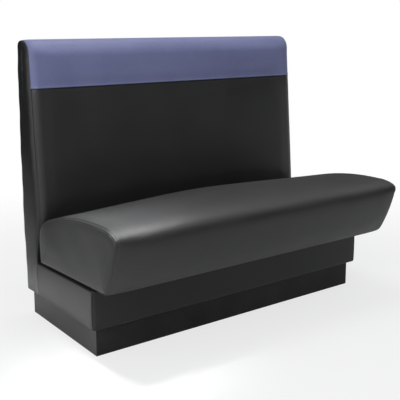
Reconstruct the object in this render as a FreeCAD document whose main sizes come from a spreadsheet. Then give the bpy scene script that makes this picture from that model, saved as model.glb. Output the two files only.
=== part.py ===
# One-sided restaurant booth bench: kick base, seat box, lift-off seat and padded back.
# X runs along the bench, Y points to the rear, Z is up, in millimetres. The origin is on the
# floor, under the middle of the bench's outer box.

import FreeCAD, Part
import math
import os
import re
import Sketcher

document = FreeCAD.newDocument("BoothSeating")

# Driving dimensions
sizes = {
    # whole bench
    "body_width": 1286,
    "body_depth": 530,
    "overall_height": 1067,
    "board_thickness": 18,
    "panel_thickness": 5,
    "vinyl_thickness": 1.2,
    "side_pad_thickness": 6,
    "divider_spacing": 300,
    # kick base
    "kick_height": 102,
    "kick_recess": 25,
    "facing_thickness": 2,
    "kick_block_size": 38,
    "screw_radius": 2.5,
    "screw_head_radius": 5,
    "screw_head_height": 4,
    "screw_length": 50,
    "side_screw_offset": 90,
    "end_screw_spacing": 840,
    "screw_edge_distance": 6,
    # seat box
    "floor_panel_thickness": 12,
    "apron_height": 145,
    "seat_pitch_angle": 1.9,
    "box_block_size": 32,
    "box_block_drop": 20,
    # back
    "back_base_depth": 100,
    "ledge_step_height": 15,
    "foam_step_height": 28,
    "panel_step_height": 110,
    "lumbar_bend_height": 28,
    "lumbar_depth": 142,
    "head_roll_height": 67,
    "head_depth": 94,
    "head_top_depth": 22,
    "head_rear_radius": 22,
    "back_foam_thickness": 30,
    "head_foam_thickness": 20,
    "head_foam_height": 82,
    "head_rail_front_radius": 16,
    "head_rail_rear_radius": 10,
    "band_height": 177,
    "rear_band_height": 57,
    "back_edge_radius": 35,
    "back_crown": 3,
    "seat_rail_edge_distance": 50,
    "seat_rail_height": 80,
    "lumbar_rail_step_height": 2,
    "lumbar_rail_height": 70,
    "rear_rail_height": 70,
    "rear_middle_rail_bottom": 560,
    # bolts between the back and the seat box
    "bolt_radius": 4,
    "bolt_hole_radius": 4.3,
    "bolt_head_radius": 7.5,
    "bolt_head_thickness": 5.3,
    "bolt_tail": 3,
    "nut_thickness": 6.5,
    "washer_radius": 8.5,
    "washer_thickness": 1.6,
    "bolt_spacing": 300,
    "bolt_edge_distance": 47,
    # seat unit
    "nose_overhang": 205,
    "toe_overhang": 129,
    "seat_flare": 20,
    "seat_gap": 17,
    "heel_setback": 20,
    "seat_back_clearance": 0.4,
    "seat_rest_clearance": 0.3,
    "seat_foam_thickness": 146,
    "seat_fall_height": 75,
    "crest_setback": 90,
    "brow_rise": 5,
    "nose_drop_height": 32,
    "nose_radius": 22,
    "shoulder_angle": 60,
    "chin_angle": 22,
    "toe_radius": 9,
    "top_bow": 18,
    "seat_crown": 7,
    "rear_crown": 15,
    "middle_corner_radius": 26,
    "end_corner_radius": 78,
    "end_roll": 10,
    "end_face_inset": 15,
    "seam_nose_inset": 8,
    "seam_top_inset": 3,
    "seam_fade": 95,
    "crown_fade": 240,
    "seat_rail_thickness": 20,
    "front_rail_setback": 33,
    "rear_rail_setback": 10,
    "end_rail_setback": 37,
    "seat_frame_height": 82,
    "cross_rail_height": 45,
    "under_clearance": 0.6,
    "spring_wire_radius": 1.9,
    "spring_half_width": 22,
    "spring_pitch": 25,
    "spring_spacing": 165,
    "clip_width": 16,
    "clip_depth": 14,
    "clip_wall": 1.5,
    "clip_clearance": 0.2,
    "spring_pad_thickness": 4,
    "cover_return": 46,
    "dust_cover_thickness": 0.8,
    "dust_cover_clearance": 0.3,
    "batten_width": 40,
    "front_batten_setback": 14,
    "rear_batten_setback": 90,
    "locator_length": 60,
    "locator_thickness": 18,
    "locator_drop": 30,
    "locator_clearance": 2,
    # one overrun for every cut
    "overrun": 5,
}

# Places worked out from the driving dimensions
places = {
    "rear_y": "(body_depth + nose_overhang) / 2",
    "nose_y": "-rear_y",
    "pitch_slope": "tan(seat_pitch_angle)",
    "apron_top_height": "kick_height + apron_height",
    "ledge_height": "apron_top_height + ledge_step_height",
    "foam_bottom_height": "ledge_height + foam_step_height",
    "panel_bottom_height": "ledge_height + panel_step_height",
    "lumbar_height": "panel_bottom_height + lumbar_bend_height",
    "head_height": "overall_height - head_roll_height",
    "head_roll_depth": "head_depth - head_rear_radius - head_top_depth",
    "lumbar_rail_bottom": "panel_bottom_height + lumbar_rail_step_height",
    "bolt_height": "apron_top_height - bolt_edge_distance",
    "seat_rail_bottom": "bolt_height - seat_rail_edge_distance",
    "crest_height": "apron_top_height + seat_gap + seat_frame_height + seat_foam_thickness",
    "seat_rear_height": "crest_height - seat_fall_height",
    "nose_height": "crest_height - nose_drop_height",
    "box_front_y": "rear_y - body_depth",
    "box_rear_y": "rear_y - back_base_depth",
    "outer_half": "body_width / 2",
    "cover_half": "outer_half - vinyl_thickness",
    "frame_half": "cover_half - side_pad_thickness",
    "inner_half": "frame_half - board_thickness",
    "pad_front_y": "box_front_y + vinyl_thickness",
    "frame_front_y": "pad_front_y + side_pad_thickness",
    "frame_inner_y": "frame_front_y + board_thickness",
    "kick_half": "outer_half - kick_recess",
    "kick_front_y": "box_front_y + kick_recess",
    "kick_board_half": "kick_half - facing_thickness",
    "kick_inner_half": "kick_board_half - board_thickness",
    "kick_board_y": "kick_front_y + facing_thickness",
    "kick_inner_front_y": "kick_board_y + board_thickness",
    "kick_inner_rear_y": "rear_y - board_thickness",
    "floor_top": "kick_height + floor_panel_thickness",
    "rear_panel_y": "rear_y - vinyl_thickness - panel_thickness",
    "rear_skin_y": "rear_y - vinyl_thickness",
    "box_inner_rear_y": "box_rear_y - board_thickness",
    "back_slope": "(lumbar_depth - head_depth) / (head_height - lumbar_height)",
    "band_bottom": "overall_height - band_height",
    "panel_back_y": "rear_y - lumbar_depth + vinyl_thickness + back_foam_thickness + panel_thickness",
    "head_panel_back_y": "panel_back_y + (head_height - lumbar_height) * back_slope",
    "low_panel_back_y": "panel_back_y - (lumbar_height - panel_bottom_height) * back_slope",
    "head_rail_top": "overall_height - vinyl_thickness - head_foam_thickness",
    "seat_half": "outer_half + seat_flare",
    "seam_half": "seat_half - end_roll",
    "toe_y": "box_front_y - toe_overhang",
    "heel_y": "rear_y - lumbar_depth - heel_setback",
    "front_rail_y": "toe_y + front_rail_setback",
    "front_rail_inner_y": "front_rail_y + seat_rail_thickness",
    "rear_rail_y": "heel_y - rear_rail_setback",
    "rear_rail_inner_y": "rear_rail_y - seat_rail_thickness",
    "end_rail_half": "seat_half - end_rail_setback",
    "end_rail_inner": "end_rail_half - seat_rail_thickness",
    "frame_lift": "vinyl_thickness + under_clearance",
    "clip_height": "2 * clip_wall + 2 * clip_clearance + 2 * spring_wire_radius",
    "spring_lift": "frame_lift + seat_frame_height + clip_wall + clip_clearance + spring_wire_radius",
    "pad_lift": "frame_lift + seat_frame_height + clip_height",
    "cavity_lift": "pad_lift + spring_pad_thickness",
    "front_batten_y": "frame_front_y + front_batten_setback",
    "rear_batten_y": "heel_y - rear_batten_setback",
}

sheet = document.addObject("Spreadsheet::Sheet", "Sizes")
for row, (alias, length) in enumerate(sizes.items(), 1):
    sheet.set("A%d" % row, alias)
    sheet.set("B%d" % row, str(length))
    sheet.setAlias("B%d" % row, alias)
document.recompute()


def bound(text):
    """The expression text, with each named size or place found in the document."""
    def link(word):
        name = word.group()
        if name in sizes:
            return "Sizes." + name
        return "Places." + name if name in places else name
    return re.sub(r"[a-z_]+", link, text)


placeSet = document.addObject("App::VarSet", "Places")
for name, text in places.items():
    placeSet.addProperty("App::PropertyFloat", name)
    placeSet.setExpression(name, bound(text))
document.recompute()


def size(name):
    return float(sheet.get(name))


def place(name):
    return getattr(placeSet, name)


# Heights along the pitched box top and the seat's underside

def boxTop(y):
    return "(apron_top_height - ((%s) - box_front_y) * pitch_slope)" % y


def seatUnder(y, lift="0"):
    return "(%s + seat_gap + %s)" % (boxTop(y), lift)


# Ways to make a sub-part

subParts = []


def keep(item, name):
    """Marks an object as a sub-part that gets a file of its own."""
    item.Label = name
    subParts.append(item)
    return item


def board(name, plane, outline, low, thickness):
    """A padded polygon; low is where it starts along the third axis."""
    body = document.addObject("PartDesign::Body", name)
    sketch = body.newObject("Sketcher::SketchObject", name + "_outline")
    origin = [item for item in body.Origin.OriginFeatures if item.Role == plane + "_Plane"]
    sketch.AttachmentSupport = [(origin[0], "")]
    sketch.MapMode = "FlatFace"
    offset = "-(%s) - (%s)" % (low, thickness) if plane == "XZ" else low
    sketch.setExpression("AttachmentOffset.Base.z", bound(offset))
    corners = len(outline)
    turn = 2 * math.pi / corners
    spots = [FreeCAD.Vector(math.cos(turn * at), math.sin(turn * at), 0) for at in range(corners)]
    for at in range(corners):
        sketch.addGeometry(Part.LineSegment(spots[at], spots[(at + 1) % corners]), False)
    for at in range(corners):
        sketch.addConstraint(Sketcher.Constraint("Coincident", at, 2, (at + 1) % corners, 1))
    for at, (across, up) in enumerate(outline):
        for kind, text, start in (("DistanceX", across, spots[at].x), ("DistanceY", up, spots[at].y)):
            held = sketch.addConstraint(Sketcher.Constraint(kind, -1, 1, at, 1, start))
            sketch.setExpression("Constraints[%d]" % held, bound(text))
    pad = body.newObject("PartDesign::Pad", name + "_pad")
    pad.Profile = sketch
    pad.setExpression("Length", bound(thickness))
    sketch.Visibility = False
    return body


def block(name, low, high):
    """A rectangular piece between two corners."""
    box = document.addObject("Part::Box", name)
    for axis, side, start, end in zip("xyz", ("Length", "Width", "Height"), low, high):
        box.setExpression("Placement.Base." + axis, bound(start))
        box.setExpression(side, bound("(%s) - (%s)" % (end, start)))
    return box


def turned(name, kind, spot, axis, bindings):
    """A round or hexagonal primitive that starts at a spot and runs along an axis."""
    item = document.addObject(kind, name)
    for word, text in bindings.items():
        item.setExpression(word, bound(text))
    item.Placement.Rotation = FreeCAD.Rotation(FreeCAD.Vector(0, 0, 1), FreeCAD.Vector(*axis))
    for word, text in zip("xyz", spot):
        item.setExpression("Placement.Base." + word, bound(text))
    return item


def together(name, items):
    group = document.addObject("Part::Compound", name)
    group.Links = items
    return group


def fused(name, items):
    joined = document.addObject("Part::MultiFuse", name)
    joined.Shapes = items
    return joined


def without(name, base, tools):
    """The base with the room for the tools taken out."""
    cut = document.addObject("Part::Cut", name)
    cut.Base = base
    cut.Tool = tools[0] if len(tools) == 1 else together(name + "_room", tools)
    return cut


def solidNode(name, shape):
    item = document.addObject("Part::Feature", name)
    item.Shape = shape
    item.Placement = FreeCAD.Placement()
    return keep(item, name)


# Kick base

def screwAt(name, x, y):
    shank = turned(name + "_shank", "Part::Cylinder", (x, y, "floor_top - screw_length"), (0, 0, 1),
                   {"Radius": "screw_radius", "Height": "screw_length - screw_head_height"})
    head = turned(name + "_head", "Part::Cone", (x, y, "floor_top - screw_head_height"), (0, 0, 1),
                  {"Radius1": "screw_radius", "Radius2": "screw_head_radius", "Height": "screw_head_height"})
    return fused(name, [shank, head])


screws = []
for side in ("-", ""):
    sideX = side + "(kick_inner_half + board_thickness / 2)"
    endX = side + "end_screw_spacing / 2"
    for label, x, y in (("near", sideX, "kick_inner_front_y + side_screw_offset"),
                        ("far", sideX, "kick_inner_rear_y - side_screw_offset"),
                        ("front", endX, "kick_board_y + board_thickness / 2"),
                        ("rear", endX, "kick_inner_rear_y + screw_edge_distance")):
        screws.append(screwAt("screw_%s_%s" % ("left" if side else "right", label), x, y))
floorScrews = keep(together("floor_panel_screws", screws), "floor_panel_screws")


def kickBoard(name, low, high):
    blank = block(name + "_blank", low, high)
    return keep(without(name, blank, [floorScrews]), name)


kickBoard("kick_front_board", ("-kick_inner_half", "kick_board_y", "0"),
          ("kick_inner_half", "kick_inner_front_y", "kick_height"))
kickBoard("kick_rear_board", ("-kick_inner_half", "kick_inner_rear_y", "0"),
          ("kick_inner_half", "rear_y", "kick_height"))
kickBoard("kick_left_board", ("-kick_board_half", "kick_board_y", "0"),
          ("-kick_inner_half", "rear_y", "kick_height"))
kickBoard("kick_right_board", ("kick_inner_half", "kick_board_y", "0"),
          ("kick_board_half", "rear_y", "kick_height"))

keep(block("kick_front_facing", ("-kick_half", "kick_front_y", "0"),
           ("kick_half", "kick_board_y", "kick_height")), "kick_front_facing")
keep(block("kick_left_facing", ("-kick_half", "kick_board_y", "0"),
           ("-kick_board_half", "rear_y", "kick_height")), "kick_left_facing")
keep(block("kick_right_facing", ("kick_board_half", "kick_board_y", "0"),
           ("kick_half", "rear_y", "kick_height")), "kick_right_facing")

dividers = {"left": "-divider_spacing", "middle": "0", "right": "divider_spacing"}
crossBoards = []
for label, x in dividers.items():
    crossBoards.append(block("kick_cross_board_" + label,
                             (x + " - board_thickness / 2", "kick_inner_front_y", "0"),
                             (x + " + board_thickness / 2", "kick_inner_rear_y", "kick_height")))
keep(together("kick_cross_boards", crossBoards), "kick_cross_boards")

kickBlocks = []
for label, lowX in (("left", "-kick_inner_half"), ("right", "kick_inner_half - kick_block_size")):
    for depth, lowY in (("front", "kick_inner_front_y"), ("rear", "kick_inner_rear_y - kick_block_size")):
        kickBlocks.append(block("kick_block_%s_%s" % (label, depth), (lowX, lowY, "0"),
                                (lowX + " + kick_block_size", lowY + " + kick_block_size", "kick_height")))
keep(together("kick_corner_blocks", kickBlocks), "kick_corner_blocks")

floorBlank = block("box_floor_panel_blank", ("-frame_half", "frame_front_y", "kick_height"),
                   ("frame_half", "rear_panel_y", "floor_top"))
keep(without("box_floor_panel", floorBlank, [floorScrews]), "box_floor_panel")


# Seat box: its top edges follow the seat's pitch, one cover thickness lower where vinyl wraps over

def pitched(lowY, highY, bottom, below="0"):
    return [(lowY, bottom), (highY, bottom), (highY, "%s - (%s)" % (boxTop(highY), below)),
            (lowY, "%s - (%s)" % (boxTop(lowY), below))]


keep(board("box_front_board", "YZ",
           pitched("frame_front_y", "frame_inner_y", "floor_top", "vinyl_thickness"),
           "-inner_half", "2 * inner_half"), "box_front_board")
keep(board("box_left_board", "YZ", pitched("frame_front_y", "box_rear_y", "floor_top", "vinyl_thickness"),
           "-frame_half", "board_thickness"), "box_left_board")
keep(board("box_right_board", "YZ", pitched("frame_front_y", "box_rear_y", "floor_top", "vinyl_thickness"),
           "inner_half", "board_thickness"), "box_right_board")

boxDividers = []
for label, x in dividers.items():
    boxDividers.append(board("box_cross_board_" + label, "YZ",
                             pitched("frame_inner_y", "box_inner_rear_y", "floor_top"),
                             x + " - board_thickness / 2", "board_thickness"))
keep(together("box_cross_boards", boxDividers), "box_cross_boards")

boxBlocks = []
for label, lowX in (("left", "-inner_half"), ("right", "inner_half - box_block_size")):
    for depth, lowY in (("front", "frame_inner_y"), ("rear", "box_inner_rear_y - box_block_size")):
        highY = lowY + " + box_block_size"
        boxBlocks.append(board("box_block_%s_%s" % (label, depth), "YZ",
                               pitched(lowY, highY, "floor_top", "locator_drop + box_block_drop"),
                               lowX, "box_block_size"))
keep(together("box_corner_blocks", boxBlocks), "box_corner_blocks")

# Apron padding and vinyl: each cover wraps under its pad and over the top edge of its board

sidePads = {}
for label, lowX in (("left", "-cover_half"), ("right", "frame_half")):
    outline = pitched("pad_front_y", "box_rear_y", "kick_height + vinyl_thickness", "vinyl_thickness")
    sidePads[label] = keep(board("apron_%s_pad" % label, "YZ", outline, lowX, "side_pad_thickness"),
                           "apron_%s_pad" % label)
frontPad = keep(board("apron_front_pad", "YZ",
                      pitched("pad_front_y", "frame_front_y", "kick_height + vinyl_thickness",
                              "vinyl_thickness"),
                      "-frame_half", "2 * frame_half"), "apron_front_pad")

sideWraps = {}
for label, lowX, boardX in (("left", "-outer_half", "-frame_half"), ("right", "inner_half", "inner_half")):
    name = "apron_%s_cover" % label
    sideWraps[label] = board(name + "_wrap", "YZ", pitched("pad_front_y", "box_rear_y", "kick_height"),
                             lowX, "outer_half - inner_half")
    boardRoom = board(name + "_board_room", "YZ",
                      pitched("pad_front_y - overrun", "box_rear_y + overrun", "kick_height - overrun",
                              "vinyl_thickness"), boardX, "board_thickness")
    keep(without(name, sideWraps[label], [sidePads[label], boardRoom]), name)

frontWrap = board("apron_front_cover_wrap", "YZ", pitched("box_front_y", "frame_inner_y", "kick_height"),
                  "-outer_half", "2 * outer_half")
frontRoom = board("apron_front_cover_board_room", "YZ",
                  pitched("frame_front_y", "frame_inner_y + overrun", "kick_height - overrun",
                          "vinyl_thickness"), "-frame_half - overrun", "2 * (frame_half + overrun)")
endRooms = [block("apron_front_cover_%s_room" % label, (lowX, "pad_front_y", "0"),
                  (highX, "frame_inner_y + overrun", "apron_top_height + overrun"))
            for label, lowX, highX in (("left", "-outer_half - overrun", "-inner_half"),
                                       ("right", "inner_half", "outer_half + overrun"))]
keep(without("apron_front_cover", frontWrap, [frontPad, frontRoom] + endRooms), "apron_front_cover")

# Back frame: two end uprights and three notched inner ones, tied by rails and closed by panels

uprightOutline = [
    ("rear_panel_y", "floor_top"),
    ("rear_panel_y", "head_height"),
    ("head_panel_back_y", "head_height"),
    ("low_panel_back_y", "panel_bottom_height"),
    ("box_rear_y", "panel_bottom_height"),
    ("box_rear_y", "floor_top"),
]
keep(board("back_left_upright", "YZ", uprightOutline, "-frame_half", "board_thickness"),
     "back_left_upright")
keep(board("back_right_upright", "YZ", uprightOutline, "inner_half", "board_thickness"),
     "back_right_upright")


def fullRail(name, lowY, highY, bottom, top):
    return block(name, ("-inner_half", lowY, bottom), ("inner_half", highY, top))


def onPanel(height):
    return "(panel_back_y + (%s - lumbar_height) * back_slope)" % height


seatRailBlank = fullRail("back_seat_rail_blank", "box_rear_y", "box_rear_y + board_thickness",
                         "seat_rail_bottom", "seat_rail_bottom + seat_rail_height")
lumbarTop = "lumbar_rail_bottom + lumbar_rail_height"
lumbarRail = keep(board("back_lumbar_rail", "YZ",
                        [(onPanel("lumbar_rail_bottom"), "lumbar_rail_bottom"),
                         (onPanel("lumbar_rail_bottom") + " + board_thickness", "lumbar_rail_bottom"),
                         (onPanel("(%s)" % lumbarTop) + " + board_thickness", lumbarTop),
                         (onPanel("(%s)" % lumbarTop), lumbarTop)],
                        "-inner_half", "2 * inner_half"), "back_lumbar_rail")
rearRails = together("back_rear_rails", [
    fullRail("back_rear_bottom_rail", "rear_panel_y - board_thickness", "rear_panel_y",
             "floor_top", "floor_top + rear_rail_height"),
    fullRail("back_rear_middle_rail", "rear_panel_y - board_thickness", "rear_panel_y",
             "rear_middle_rail_bottom", "rear_middle_rail_bottom + rear_rail_height"),
])
keep(rearRails, "back_rear_rails")

# Bolts, washers and nuts through the box's rear rail and the back's seat rail

boltX = ["-3 * bolt_spacing / 2", "-bolt_spacing / 2", "bolt_spacing / 2", "3 * bolt_spacing / 2"]
washerFrontY = "box_inner_rear_y - washer_thickness"
washerRearY = "box_rear_y + board_thickness"
headY = "(%s - bolt_head_thickness)" % washerFrontY
nutY = "(%s + washer_thickness)" % washerRearY
boltEndY = "(%s + nut_thickness + bolt_tail)" % nutY
toRear = (0, 1, 0)
bolts, washers, nuts, boltHoles = [], [], [], []
for count, x in enumerate(boltX, 1):
    head = turned("bolt_head_%d" % count, "Part::Prism", (x, headY, "bolt_height"), toRear,
                  {"Circumradius": "bolt_head_radius", "Height": "bolt_head_thickness"})
    shank = turned("bolt_shank_%d" % count, "Part::Cylinder", (x, washerFrontY, "bolt_height"), toRear,
                   {"Radius": "bolt_radius", "Height": "%s - (%s)" % (boltEndY, washerFrontY)})
    bolts.append(fused("bolt_%d" % count, [head, shank]))
    boltHoles.append(turned("bolt_hole_%d" % count, "Part::Cylinder", (x, headY, "bolt_height"), toRear,
                            {"Radius": "bolt_hole_radius", "Height": "%s - %s" % (boltEndY, headY)}))
    for label, y in (("front", washerFrontY), ("rear", washerRearY)):
        disc = turned("washer_disc_%s_%d" % (label, count), "Part::Cylinder", (x, y, "bolt_height"), toRear,
                      {"Radius": "washer_radius", "Height": "washer_thickness"})
        washers.append(without("washer_%s_%d" % (label, count), disc, [boltHoles[-1]]))
    hexagon = turned("nut_blank_%d" % count, "Part::Prism", (x, nutY, "bolt_height"), toRear,
                     {"Circumradius": "bolt_head_radius", "Height": "nut_thickness"})
    nuts.append(without("nut_%d" % count, hexagon, [bolts[-1]]))
keep(together("back_bolts", bolts), "back_bolts")
keep(together("bolt_washers", washers), "bolt_washers")
keep(together("bolt_nuts", nuts), "bolt_nuts")
boltRoom = together("bolt_room", boltHoles)

boxRailBlank = board("box_rear_rail_blank", "YZ", pitched("box_inner_rear_y", "box_rear_y", "floor_top"),
                     "-inner_half", "2 * inner_half")
keep(without("box_rear_rail", boxRailBlank, [boltRoom]), "box_rear_rail")
seatRail = keep(without("back_seat_rail", seatRailBlank, [boltRoom]), "back_seat_rail")

innerUprights = [board("back_inner_upright_" + label, "YZ", uprightOutline,
                       x + " - board_thickness / 2", "board_thickness") for label, x in dividers.items()]
keep(without("back_inner_uprights", together("back_inner_upright_blanks", innerUprights),
             [seatRailBlank, lumbarRail, rearRails]), "back_inner_uprights")

panelFront = [
    ("low_panel_back_y", "panel_bottom_height"),
    ("low_panel_back_y - panel_thickness", "panel_bottom_height"),
    ("head_panel_back_y - panel_thickness", "head_height"),
    ("head_panel_back_y", "head_height"),
]
keep(board("back_front_panel", "YZ", panelFront, "-frame_half", "2 * frame_half"), "back_front_panel")
keep(block("back_rear_panel", ("-frame_half", "rear_panel_y", "kick_height"),
           ("frame_half", "rear_skin_y", "head_height")), "back_rear_panel")

# Head rail, rounded along its two top edges

headRail = board("back_head_rail", "YZ",
                 [("head_panel_back_y - panel_thickness", "head_height"),
                  ("rear_skin_y", "head_height"),
                  ("rear_skin_y", "head_rail_top"),
                  ("head_panel_back_y - panel_thickness", "head_rail_top")],
                 "-frame_half", "2 * frame_half")
document.recompute()


def edgeAlongX(shape, y, z):
    """The name of the long edge that passes a given place."""
    for number, edge in enumerate(shape.Edges, 1):
        box = edge.BoundBox
        near = abs(box.YMin - y) < size("overrun") and abs(box.ZMin - z) < size("overrun")
        if near and box.XLength > size("body_width") / 2:
            return "Edge%d" % number
    raise ValueError("no edge along X there")


railFrontY = place("head_panel_back_y") - size("panel_thickness")
for name, y, radius in (("front", railFrontY, "head_rail_front_radius"),
                        ("rear", place("rear_skin_y"), "head_rail_rear_radius")):
    tip = headRail.Tip
    fillet = headRail.newObject("PartDesign::Fillet", "head_rail_%s_round" % name)
    fillet.Base = (tip, [edgeAlongX(tip.Shape, y, place("head_rail_top"))])
    fillet.setExpression("Radius", bound(radius))
    document.recompute()
keep(headRail, "back_head_rail")


# Back upholstery: an outer form in sections along the bench, with a thin skin taken off it

# where the middle of the head's front roll lies: share of its depth, share of its rise
headRollShares = (0.2, 0.64)
# how much of an end's inset the top takes
topInsetShare = 0.15
# round the end, from its face to the flat front: share of the turn
turnShares = (1, 0.8, 0.6, 0.4, 0.2, 0)
# along the flat front: share of the way out from the middle, share of the crown
backCrownShares = ((0.75, 0.6), (0.45, 0.9), (0, 1))


def backSection(x, edgeInset, crown, skin):
    """The back's outline at x; skin is how far inside the outer surface it lies."""
    rear = place("rear_y") - skin
    top = size("overall_height") - edgeInset * topInsetShare - skin
    draw = edgeInset - crown
    base = place("box_rear_y") + skin
    lumbar = place("rear_y") - size("lumbar_depth") + draw
    head = place("rear_y") - size("head_depth") + draw
    roll = place("head_roll_depth") - draw / 2
    rise = top - place("head_height")
    corner = size("head_rear_radius") - skin
    bottom = size("kick_height")

    def at(y, z):
        return FreeCAD.Vector(x, y, z)

    rollMiddle = at(head + headRollShares[0] * roll, place("head_height") + headRollShares[1] * rise)
    cornerMiddle = corner * (1 - math.sqrt(2) / 2)
    edges = [
        Part.LineSegment(at(rear, bottom), at(base, bottom)),
        Part.LineSegment(at(base, bottom), at(base, place("ledge_height"))),
        Part.LineSegment(at(base, place("ledge_height")), at(lumbar, place("lumbar_height"))),
        Part.LineSegment(at(lumbar, place("lumbar_height")), at(head, place("head_height"))),
        Part.Arc(at(head, place("head_height")), rollMiddle, at(head + roll, top)),
        Part.LineSegment(at(head + roll, top), at(rear - corner, top)),
        Part.Arc(at(rear - corner, top), at(rear - cornerMiddle, top - cornerMiddle),
                 at(rear, top - corner)),
        Part.LineSegment(at(rear, top - corner), at(rear, bottom)),
    ]
    return Part.Wire([edge.toShape() for edge in edges])


def backStations(skin):
    """Places along half the back with the inset of its rounded end and its crown."""
    radius = size("back_edge_radius")
    centre = place("outer_half") - radius
    turn = math.asin(1 - (size("vinyl_thickness") - skin) / (radius - skin))
    stations = []
    for share in turnShares:
        x = centre + (radius - skin) * math.sin(share * turn)
        stations.append((x, radius - (radius - skin) * math.cos(share * turn), 0, skin))
    for along, lift in backCrownShares:
        stations.append((along * centre, skin, lift * size("back_crown"), skin))
    return stations


def mirroredStations(stations):
    """The stations of one half and their mirror images, from left to right."""
    left = [(-station[0],) + tuple(station[1:]) for station in stations if station[0] > 0]
    return left + list(reversed(stations))


def slab(lowX, highX, lowY, highY, lowZ, highZ):
    return Part.makeBox(highX - lowX, highY - lowY, highZ - lowZ, FreeCAD.Vector(lowX, lowY, lowZ))


def ruledForm(section, stations):
    """A form through the sections at the stations of one half and their mirror images."""
    return Part.makeLoft([section(*station) for station in mirroredStations(stations)], True, True)


backOuter = ruledForm(backSection, backStations(0))
backInner = ruledForm(backSection, backStations(size("vinyl_thickness")))
reach = 2 * size("body_width")
midBackY = place("rear_y") - size("head_depth") / 2
backShell = backOuter.cut(backInner)
rearBandBottom = size("overall_height") - size("rear_band_height")
frontZone = slab(-reach, reach, -reach, midBackY, place("foam_bottom_height"), place("band_bottom"))
rearZone = slab(-reach, reach, place("rear_skin_y"), reach, 0, rearBandBottom)
bandZone = slab(-reach, reach, -reach, reach, place("band_bottom"), reach).cut(
    slab(-reach, reach, midBackY, reach, 0, rearBandBottom))
solidNode("back_front_cover", backShell.common(frontZone))
solidNode("head_band_cover", backShell.common(bandZone))
solidNode("back_rear_cover", backShell.common(rearZone))

stiffBack = Part.makePolygon([FreeCAD.Vector(-reach, y, z) for y, z in (
    (reach, 0),
    (place("box_rear_y"), 0),
    (place("box_rear_y"), place("panel_bottom_height")),
    (place("low_panel_back_y") - size("panel_thickness"), place("panel_bottom_height")),
    (railFrontY, place("head_height")),
    (reach, place("head_height")),
    (reach, 0),
)])
stiffForm = Part.Face(stiffBack).extrude(FreeCAD.Vector(2 * reach, 0, 0))
frameHalf = place("frame_half")
foamTop = size("overall_height") - size("head_foam_height")
backFoam = backInner.common(slab(-frameHalf, frameHalf, -reach, reach, place("foam_bottom_height"), reach))
backFoam = backFoam.cut([stiffForm, headRail.Shape])
solidNode("back_front_foam", backFoam.common(slab(-reach, reach, -reach, reach, 0, foamTop)))
solidNode("head_foam", backFoam.common(slab(-reach, reach, -reach, reach, foamTop, reach)))
for label, lowX in (("left", -place("cover_half")), ("right", frameHalf)):
    pad = backInner.common(slab(lowX, lowX + size("side_pad_thickness"), -reach, reach, 0, reach))
    solidNode("back_%s_end_pad" % label, pad)
endStation = backStations(0)[0]
for label, away in (("left", -1), ("right", 1)):
    outline = Part.Face(backSection(away * place("cover_half"), *endStation[1:]))
    cover = outline.extrude(FreeCAD.Vector(away * size("vinyl_thickness"), 0, 0))
    solidNode("back_%s_end_cover" % label, cover)


# Seat cushion: the outline at a place along the bench, with its rolled end and crown

# how much of a corner's radius its middle stands off each side
cornerCutShare = 0.29
toeCutShare = 0.29
# where the point lies that an end is drawn in towards: share of the depth and of the height
anchorShare = 0.25
# along the rolled end, from its face to the seam: share of the roll, share of the face's inset
endRollShares = ((1, 1), (0.8, 0.5), (0.4, 0.15), (0, 0))
# from the seam to where the cushion is full: share of the way, share of the seam's inset
seamFadeShares = ((0.2, 0.6), (0.55, 0.2), (1, 0))
# along the middle: share of the way from full size to the middle, crown, how far the corner is tight
crownShares = ((0, 0.25, 0.3), (0.3, 0.7, 0.7), (0.6, 0.93, 0.9), (1, 1, 1))

seatHalfDepth = (place("heel_y") - place("nose_y")) / 2
seatMiddleY = (place("heel_y") + place("nose_y")) / 2
slope = place("pitch_slope")


def underSeat(y):
    """Height of the seat's underside."""
    return place("apron_top_height") - (y - place("box_front_y")) * slope + size("seat_gap")


def frontOfBack(z):
    return place("rear_y") - size("lumbar_depth") + (z - place("lumbar_height")) * place("back_slope")


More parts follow.
